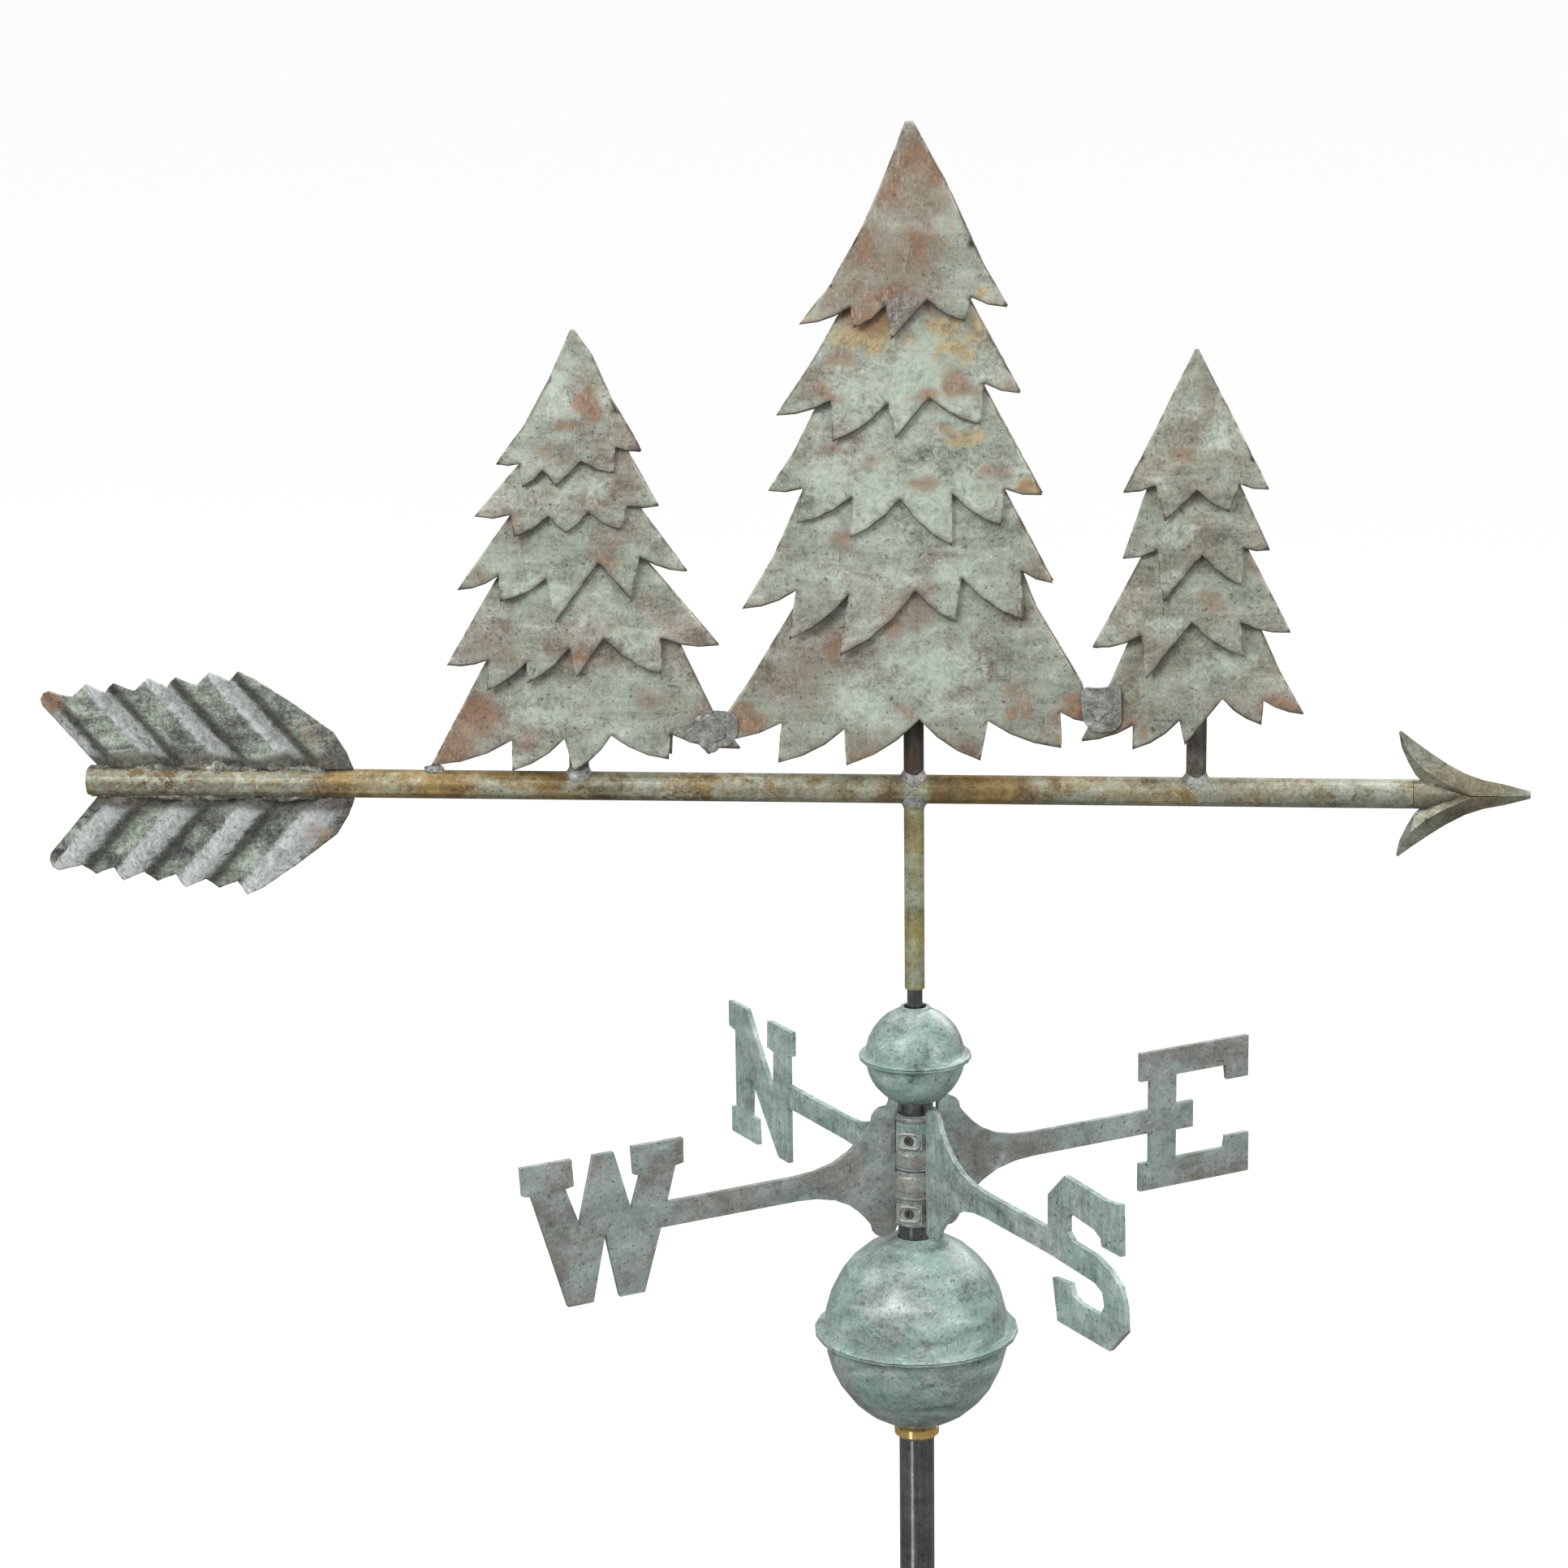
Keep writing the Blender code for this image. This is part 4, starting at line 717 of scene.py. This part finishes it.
def tree_sheet(node, post_x, stains, finish):
    outward = -1 if node.endswith("front") else 1
    corners, faces = inner_skin(node, -outward)
    points, faces_made, starts, ends = filled(outline(corners, faces), 3.0 * MM)
    distance = edge_distance(points, starts, ends)
    depth = evened(skin_depth(points, corners, faces), faces_made, distance < 0.2 * MM, 10)
    along = ends - starts
    area = (starts[:, 0] * ends[:, 1] - ends[:, 0] * starts[:, 1]).sum()
    downward = -along[:, 0] * (1 if area > 0 else -1) / np.maximum(np.hypot(*along.T), 1e-12)
    foot = downward < -0.35
    foot_distance = edge_distance(points, starts[foot], ends[foot])
    seed = sum(map(ord, node)) * 0.37 * MM
    wave = np.array([0.28 * ripple(x, z, seed, 19) + 0.10 * ripple(x, z, seed, 7) for x, z in points])
    curl = np.array([max(0.0, 0.5 + 0.9 * ripple(x, z, seed + 1, 14)) for x, z in points])
    lifted = np.maximum(wave + 0.28, 0) + curl * np.exp(-foot_distance / (3.2 * MM))
    depth = depth + outward * lifted * MM
    top = cad_high.z - 0.2 * MM
    places = [(x, y, min(z, top)) for (x, z), y in zip(points, depth)]
    marks = stain_marks(points, post_x, stains, outward > 0)
    if "tier_1" not in node:
        marks["dark"] *= 0
    # rim and foot carry the painted edge highlight and shade, and the painted shade line along each foot
    # edge.
    marks["rim"] = distance / MM
    marks["foot"] = np.exp(-(foot_distance / (1.1 * MM)) ** 2)
    piece = sheet_piece(node + "_sheet", places, faces_made, marks, outward, finish, SHEET_THICKNESS)
    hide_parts(node)
    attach(piece, "vane")
    return len(faces_made)


def middle_x(node):
    low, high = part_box(node)
    return (low.x + high.x) / 2


LEFT_POST = middle_x("left_tree_post")
RIGHT_POST = middle_x("right_tree_post")
TREES = (("big_tree_tier", 0.0, BIG_STAINS, BIG_TREE_PATINA),
         ("left_tree_tier", LEFT_POST, LEFT_STAINS, LEFT_TREE_PATINA),
         ("right_tree_tier", RIGHT_POST, RIGHT_STAINS, RIGHT_TREE_PATINA))
for prefix, post_x, stains, finish in TREES:
    tiers = sorted(node for node in frame["nodes"] if node.startswith(prefix))
    counts = [tree_sheet(node, post_x, stains, finish) for node in tiers]
    print(prefix, "sheets:", len(tiers), "triangles before thickness:", sum(counts))

# %% [markdown]
# The tail feathers are one folded sheet each. Their folds catch the light by turns, so the
# faces that lean one way get painted highlight tones and each crease a painted shade line:
# the slope of the folded sheet decides which tones it takes. Evening the depths rounds the
# folds as a press would.

# %% Feathers
FEATHER_THICKNESS = 1.0 * MM
FOLD_LEAN = math.radians(49)


def feather(node):
    low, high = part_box(node)
    sign = 1 if low.z + high.z > 2 * ARROW_HEIGHT else -1
    corners, faces = inner_skin(node, 1)
    points, faces_made, starts, ends = filled(outline(corners, faces), 1.8 * MM)
    distance = edge_distance(points, starts, ends)
    raw = skin_depth(points, corners, faces)
    depth = evened(raw, faces_made, np.zeros(len(points), bool), 3)
    across = Vector((math.sin(FOLD_LEAN), sign * math.cos(FOLD_LEAN)))
    probe = 1.5 * MM * np.array(across)
    slope = skin_depth(points + probe, corners, faces) - skin_depth(points - probe, corners, faces)
    above = np.abs(points[:, 1] - ARROW_HEIGHT) / MM
    lobe = np.hypot(points[:, 0] - low.x - 6 * MM, above * MM - 45 * MM) / MM
    height = np.clip((raw - raw.min()) / (raw.max() - raw.min()), 0, 1) / 2
    # The phase of each point along the folds places the painted light: a painted highlight on every other
    # fold face and a painted shade line in each crease.
    turn = np.where(slope > 0, height, 1 - height)
    phase = (turn + (0.5 if sign > 0 else 0.12) + 0.2) % 1 - 0.2
    rising = np.clip((phase + 0.16) / 0.12, 0, 1)
    falling = np.clip((0.36 - phase) / 0.14, 0, 1)
    crease = np.exp(-((phase - 0.42) / 0.09) ** 2)
    front = np.exp(-((points[:, 0] - high.x + 22 * MM) / (16 * MM)) ** 2)
    front = front * np.exp(-((above - 30) / 14) ** 2)
    # pale holds the painted highlight; dark holds the dark seam band by the arrow and the painted crease
    # shade.
    marks = {"pale": 0.04 + 0.92 * rising * falling, "rim": distance / MM,
             "rust": np.maximum((0.85 if sign > 0 else 0.3) * np.exp(-(lobe / 9) ** 2), 0.4 * front),
             "dark": np.maximum(1.2 * np.exp(-((above - 8) / 7) ** 2), 0.85 * crease),
             "brown": 0.35 * np.exp(-((above - 12) / 6) ** 2)}
    wave = np.array([0.2 * ripple(x, z, sign * 0.01, 9) for x, z in points])
    places = [(x, y, z) for (x, z), y in zip(points, depth + wave * MM)]
    piece = sheet_piece(node + "_sheet", places, faces_made, marks, -1, FEATHER_PATINA, FEATHER_THICKNESS)
    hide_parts(node)
    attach(piece, "vane")
    print(node, "triangles:", len(faces_made), "pale share:", round(float(marks["pale"].mean()), 2))


for node in ("upper_tail_feather", "lower_tail_feather"):
    feather(node)

# %% [markdown]
# Tubes, globes, castings and plates already have the right shape in the model, but their
# corners are razor sharp. Each is copied, its split corners are joined, and a narrow bevel
# rounds the edges that a file would have rounded. Smooth shading is kept off real edges.

# %% Worked copies of the solid parts
def worked(node, finish, bevel=0.0, angle=32, corner=0.0):
    """A copy of a solid node with joined corners, filed edges and a finish."""
    source = frame["nodes"][node]
    bm = bmesh.new()
    bm.from_mesh(source.data)
    bmesh.ops.remove_doubles(bm, verts=bm.verts, dist=0.002 * MM)
    bmesh.ops.dissolve_limit(bm, angle_limit=math.radians(0.6), verts=bm.verts, edges=bm.edges)
    bmesh.ops.dissolve_degenerate(bm, dist=0.01 * MM, edges=bm.edges)
    if corner:
        through = [e for e in bm.edges
                   if abs((e.verts[1].co - e.verts[0].co).normalized().y) > 0.95]
        bmesh.ops.bevel(bm, geom=through, offset=corner * MM, offset_type="OFFSET", segments=5,
                        profile=0.5, affect="EDGES", clamp_overlap=True)
    mesh = bpy.data.meshes.new(node + "_worked")
    bm.to_mesh(mesh)
    bm.free()
    mesh.polygons.foreach_set("use_smooth", [True] * len(mesh.polygons))
    mesh.set_sharp_from_angle(angle=math.radians(angle))
    mesh.materials.append(finish.material)
    piece = bpy.data.objects.new(node + "_worked", mesh)
    bpy.context.scene.collection.objects.link(piece)
    if bevel:
        filed = piece.modifiers.new("filed_edges", "BEVEL")
        filed.width = bevel * MM
        filed.segments = 2
        filed.limit_method = "ANGLE"
        filed.angle_limit = math.radians(angle)
        filed.harden_normals = True
    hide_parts(node)
    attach(piece, source["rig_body"])
    return piece


WORKED = (
    ("pole", POLE_BLACK, "black_pole_steel", 0.4), ("spindle", POLE_BLACK, "black_pole_steel", 0.2),
    ("spindle_bushing", POLE_BLACK, "black_pole_steel", 0.2),
    ("pivot_ball", POLE_BLACK, "black_pole_steel", 0.0),
    ("small_globe_upper_shell", GLOBE_TEAL, "verdigris_globe_copper", 0.3),
    ("small_globe_lower_shell", GLOBE_TEAL, "verdigris_globe_copper", 0.3),
    ("large_globe_upper_shell", GLOBE_TEAL, "verdigris_globe_copper", 0.35),
    ("large_globe_lower_shell", GLOBE_TEAL, "verdigris_globe_copper", 0.35),
    ("globe_ring", RING_BRASS, "bright_ring_brass", 0.5),
    ("north_south", CAST_MINT, "cast_directional_brass", 0.5),
    ("east_west", CAST_GREY, "cast_directional_brass", 0.5),
    ("north_south_set_screw", POST_BROWN, "black_pole_steel", 0.2),
    ("east_west_set_screw", POST_BROWN, "black_pole_steel", 0.2),
    ("bearing_tube", BEARING_OLIVE, "browned_tube_copper", 0.2),
    ("thrust_plug", RING_BRASS, "bright_ring_brass", 0.1),
    ("arrow_tube", TUBE_BROWN, "browned_tube_copper", 0.3),
    ("left_tree_post", POST_BROWN, "browned_tube_copper", 0.2),
    ("right_tree_post", POST_BROWN, "browned_tube_copper", 0.2),
    ("arrow_head", HEAD_GREY, "cast_directional_brass", 0.25),
)
for node, finish, slot, bevel in WORKED:
    worked(node, finish, bevel)
for node in ("left_link_plate", "right_link_plate"):
    worked(node, SOLDER, 0.3, corner=6.0)
print("worked copies:", len(WORKED) + 2)

# %% [markdown]
# The cast bands and the solder are built from rings of points. Two helpers join the rings,
# one into a closed hoop and one into a capped tube, and a third makes the result a piece.

# %% From rings of points to a piece
def closed_ring(bm, rows):
    """Quads round a hoop whose sections are these rows of points."""
    for turn, one in enumerate(rows):
        other = rows[(turn + 1) % len(rows)]
        for i in range(len(one)):
            j = (i + 1) % len(one)
            bm.faces.new((one[i], other[i], other[j], one[j]))
    bmesh.ops.recalc_face_normals(bm, faces=bm.faces)


def walls(bm, rows):
    """Quads between rings of points stacked in order, with a cap on each end."""
    for lower, upper in zip(rows, rows[1:]):
        for turn in range(len(lower)):
            after = (turn + 1) % len(lower)
            bm.faces.new((lower[turn], lower[after], upper[after], upper[turn]))
    bm.faces.new(rows[0][::-1])
    bm.faces.new(rows[-1])
    bmesh.ops.recalc_face_normals(bm, faces=bm.faces)


def smooth_piece(bm, name, finish, centre=(0, 0, 0)):
    """A smoothly shaded piece from finished points and faces."""
    mesh = bpy.data.meshes.new(name)
    bm.to_mesh(mesh)
    bm.free()
    mesh.polygons.foreach_set("use_smooth", [True] * len(mesh.polygons))
    mesh.materials.append(finish.material)
    piece = bpy.data.objects.new(name, mesh)
    piece.location = centre
    bpy.context.scene.collection.objects.link(piece)
    return piece


print("meshes before the bands:", len(bpy.data.meshes))

# %% [markdown]
# The two collars of the compass letters were cast with raised bands: a broad one low on
# each collar, a bead near its rim, and a rounded frame round the set screw. Bands are
# turned from a short profile and frames are bent round the collar, slightly proud of it.

# %% Collar bands
def ring_band(name, middle, half_height, proud):
    """A rounded band all the way round a collar."""
    bm = bmesh.new()
    profile = [(-1.0, -0.4), (-0.92, 0.45), (-0.6, 0.92), (0, 1.0),
               (0.6, 0.92), (0.92, 0.45), (1.0, -0.4)]
    turns = 96
    rows = []
    for turn in range(turns):
        angle = math.tau * turn / turns
        worn = 1 + 0.12 * noise.noise(Vector((2.2 * math.cos(angle), 2.2 * math.sin(angle), middle * 40)))
        row = []
        for up, out in profile:
            reach = COLLAR_RADIUS + proud * out * worn
            row.append(bm.verts.new((reach * math.cos(angle) * MM, reach * math.sin(angle) * MM,
                                     middle + up * half_height * MM)))
        rows.append(row)
    closed_ring(bm, rows)
    piece = smooth_piece(bm, name, COLLAR_SILVER)
    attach(piece, "directionals")


upper_low, upper_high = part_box("north_south_set_screw")
lower_low, lower_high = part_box("east_west_set_screw")
UPPER_SCREW = (upper_low.z + upper_high.z) / 2
LOWER_SCREW = (lower_low.z + lower_high.z) / 2
COLLAR_MIDDLE = next(j["pos_m"][2] for j in frame["joints"] if j["name"] == "directionals_align")
COLLAR_RADIUS = 13.5
for name, middle, half_height, proud in (
        ("upper_collar_rim", 30.6, 1.5, 0.8), ("upper_collar_band", 6.5, 4.6, 0.6),
        ("lower_collar_band", -7.5, 5.2, 0.6), ("lower_collar_bead", -15.5, 1.1, 0.9),
        ("lower_collar_rim", -30.8, 1.4, 0.8)):
    ring_band(name, COLLAR_MIDDLE + middle * MM, half_height, proud)
print("middle of the collars in mm:", round(COLLAR_MIDDLE / MM, 1))

# %% [markdown]
# Each set screw sits in a rounded frame. The frame is a small round section carried along
# a rounded square, which is a circle whose cosine and sine are raised to a low power.

# %% Screw frames
def boss_frame(name, low, high, wide, tall):
    """A rounded frame cast round a set screw, facing the way the screw does."""
    middle = (low + high) / 2
    facing = Vector((middle.x, middle.y, 0)).normalized()
    along = Vector((-facing.y, facing.x, 0))
    reach = max(Vector((x, y, 0)).dot(facing) for x in (low.x, high.x) for y in (low.y, high.y))
    bm = bmesh.new()
    rows = []
    for turn in range(64):
        angle = math.tau * turn / 64
        c, s = math.cos(angle), math.sin(angle)
        out = Vector((c, s))
        place = Vector((wide * math.copysign(abs(c) ** 0.45, c), tall * math.copysign(abs(s) ** 0.45, s)))
        row = []
        for step in range(8):
            tilt = math.tau * step / 8
            thick = 1.0 + 0.15 * noise.noise(Vector((place.x / 3, place.y / 3, step * 0.4)))
            spot = place + out * thick * math.cos(tilt)
            lift = reach / MM - 0.9 + thick * math.sin(tilt)
            point = along * spot.x * MM + Vector((0, 0, spot.y * MM)) + facing * lift * MM
            row.append(bm.verts.new(point + Vector((0, 0, middle.z))))
        rows.append(row)
    closed_ring(bm, rows)
    piece = smooth_piece(bm, name, COLLAR_SILVER)
    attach(piece, "directionals")
    return reach


frame_reach = boss_frame("upper_screw_frame", upper_low, upper_high, 6.0, 4.2)
boss_frame("lower_screw_frame", lower_low, lower_high, 6.0, 4.2)
print("set screws reach, in mm:", round(frame_reach / MM, 1))
print("screw heights in mm:", round(UPPER_SCREW / MM, 1), round(LOWER_SCREW / MM, 1))

# %% [markdown]
# Solder is what holds the vane together: fillets where the posts meet the arrow, lumps
# over the links and a rough bead along each feather. A lump starts as a ball of triangles
# that noise pushes in and out, because a plain ball would look like a bearing.

# %% Solder round the posts
def lump(name, centre, radii, seed, rough=0.25):
    """A ball of solder, pushed in and out by noise, on the vane."""
    bm = bmesh.new()
    bmesh.ops.create_icosphere(bm, subdivisions=4, radius=1)
    for vert in bm.verts:
        way = vert.co.copy()
        push = 1 + rough * noise.noise(way * 1.4 + Vector((seed, 0, 0)))
        push += rough * 0.5 * noise.noise(way * 3.7 + Vector((0, seed, 0)))
        vert.co = Vector((way.x * radii[0], way.y * radii[1], way.z * radii[2])) * push * MM
    piece = smooth_piece(bm, name, SOLDER, centre)
    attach(piece, "vane")


def fillet(name, x, up, inner, outer, height, seed):
    """A ragged cone of solder round a post where it stands on the arrow."""
    bm = bmesh.new()
    turns, steps = 40, 7
    rows = []
    for step in range(steps + 1):
        part = step / steps
        row = []
        for turn in range(turns):
            angle = math.tau * turn / turns
            spot = Vector((math.cos(angle), math.sin(angle), seed + part * 1.5))
            ragged = 1 + 0.22 * noise.noise(spot)
            radius = (inner + (outer - inner) * (1 - part) ** 2.2 * ragged) * MM
            rise = height * part * ragged * MM
            sink = math.sqrt(max(0.0, arrow_radius ** 2 - (radius * math.sin(angle)) ** 2))
            row.append(bm.verts.new((x + radius * math.cos(angle), radius * math.sin(angle),
                                     ARROW_HEIGHT + up * (sink + rise - 0.3 * MM))))
        rows.append(row)
    walls(bm, rows)
    piece = smooth_piece(bm, name, SOLDER)
    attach(piece, "vane")


arrow_radius = (arrow_high.z - arrow_low.z) / 2
for seed, (name, x, up, inner) in enumerate((
        ("left_post_solder", LEFT_POST, 1, 5.3), ("middle_post_solder", 0.0, 1, 5.4),
        ("under_post_solder", 0.0, -1, 5.4), ("right_post_solder", RIGHT_POST, 1, 5.3))):
    fillet(name, x, up, inner, 7.9, 5.2, seed * 3.1)
print("posts soldered to the arrow, whose radius in mm is", round(arrow_radius / MM, 1))

# %% [markdown]
# A bead runs along each feather where it meets the arrow, thicker and thinner as the
# solder flowed. The last lumps cover the links between the trees and the treetop.

# %% Solder beads and links

def seam(name, up, seed):
    """A lumpy bead of solder where a feather meets the arrow."""
    bm = bmesh.new()
    turns, steps = 12, 110
    low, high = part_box("upper_tail_feather")
    start, end = arrow_low.x + 1 * MM, high.x - 1 * MM
    rows = []
    for step in range(steps + 1):
        x = start + (end - start) * step / steps
        fade = math.sin(math.pi * min(0.98, max(0.02, step / steps))) ** 0.35
        thick = (2.6 + 1.9 * noise.noise(Vector((x / (7 * MM), seed, 0)))) * fade
        row = []
        for turn in range(turns):
            angle = math.tau * turn / turns
            spot = Vector((x / (3 * MM), math.cos(angle) + seed, math.sin(angle)))
            ragged = 1 + 0.5 * noise.noise(spot)
            row.append(bm.verts.new((x, 1.35 * thick * ragged * math.cos(angle) * MM,
                                     ARROW_HEIGHT + up * (7.9 + thick * ragged * math.sin(angle)) * MM)))
        rows.append(row)
    walls(bm, rows)
    piece = smooth_piece(bm, name, DARK_SOLDER)
    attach(piece, "vane")


seam("upper_feather_solder", 1, 0.4)
seam("lower_feather_solder", -1, 7.3)

left_link_low, left_link_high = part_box("left_link_plate")
link_x = (left_link_low.x + left_link_high.x) / 2
link_z = (left_link_low.z + left_link_high.z) / 2
link_y = left_link_low.y
lump("left_link_solder", (link_x - 7 * MM, link_y, link_z - 1 * MM), (9, 1.6, 10), 2.1, rough=0.45)
lump("left_link_drip", (link_x - 3 * MM, link_y, left_link_low.z + 1 * MM), (3, 1.8, 3), 5.2)
right_link_low, right_link_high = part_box("right_link_plate")
lump("right_link_solder", ((right_link_low.x + right_link_high.x) / 2, right_link_low.y + 0.3 * MM,
                           (right_link_low.z + right_link_high.z) / 2), (5, 1.4, 6), 8.4, rough=0.45)
tip_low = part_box("left_tree_tier_5_front")[0]
lump("left_tip_solder", (tip_low.x + 1.5 * MM, 0, ARROW_HEIGHT + 8.6 * MM), (5.5, 4, 2.6), 3.3)
lump("treetop_solder", (0, 0, cad_high.z - 5.0 * MM), (2.6, 3.4, 3.8), 6.1)
print("solder pieces done")

# %% [markdown]
# The looks may round an edge or lift a curl, but the object's size belongs to the model.
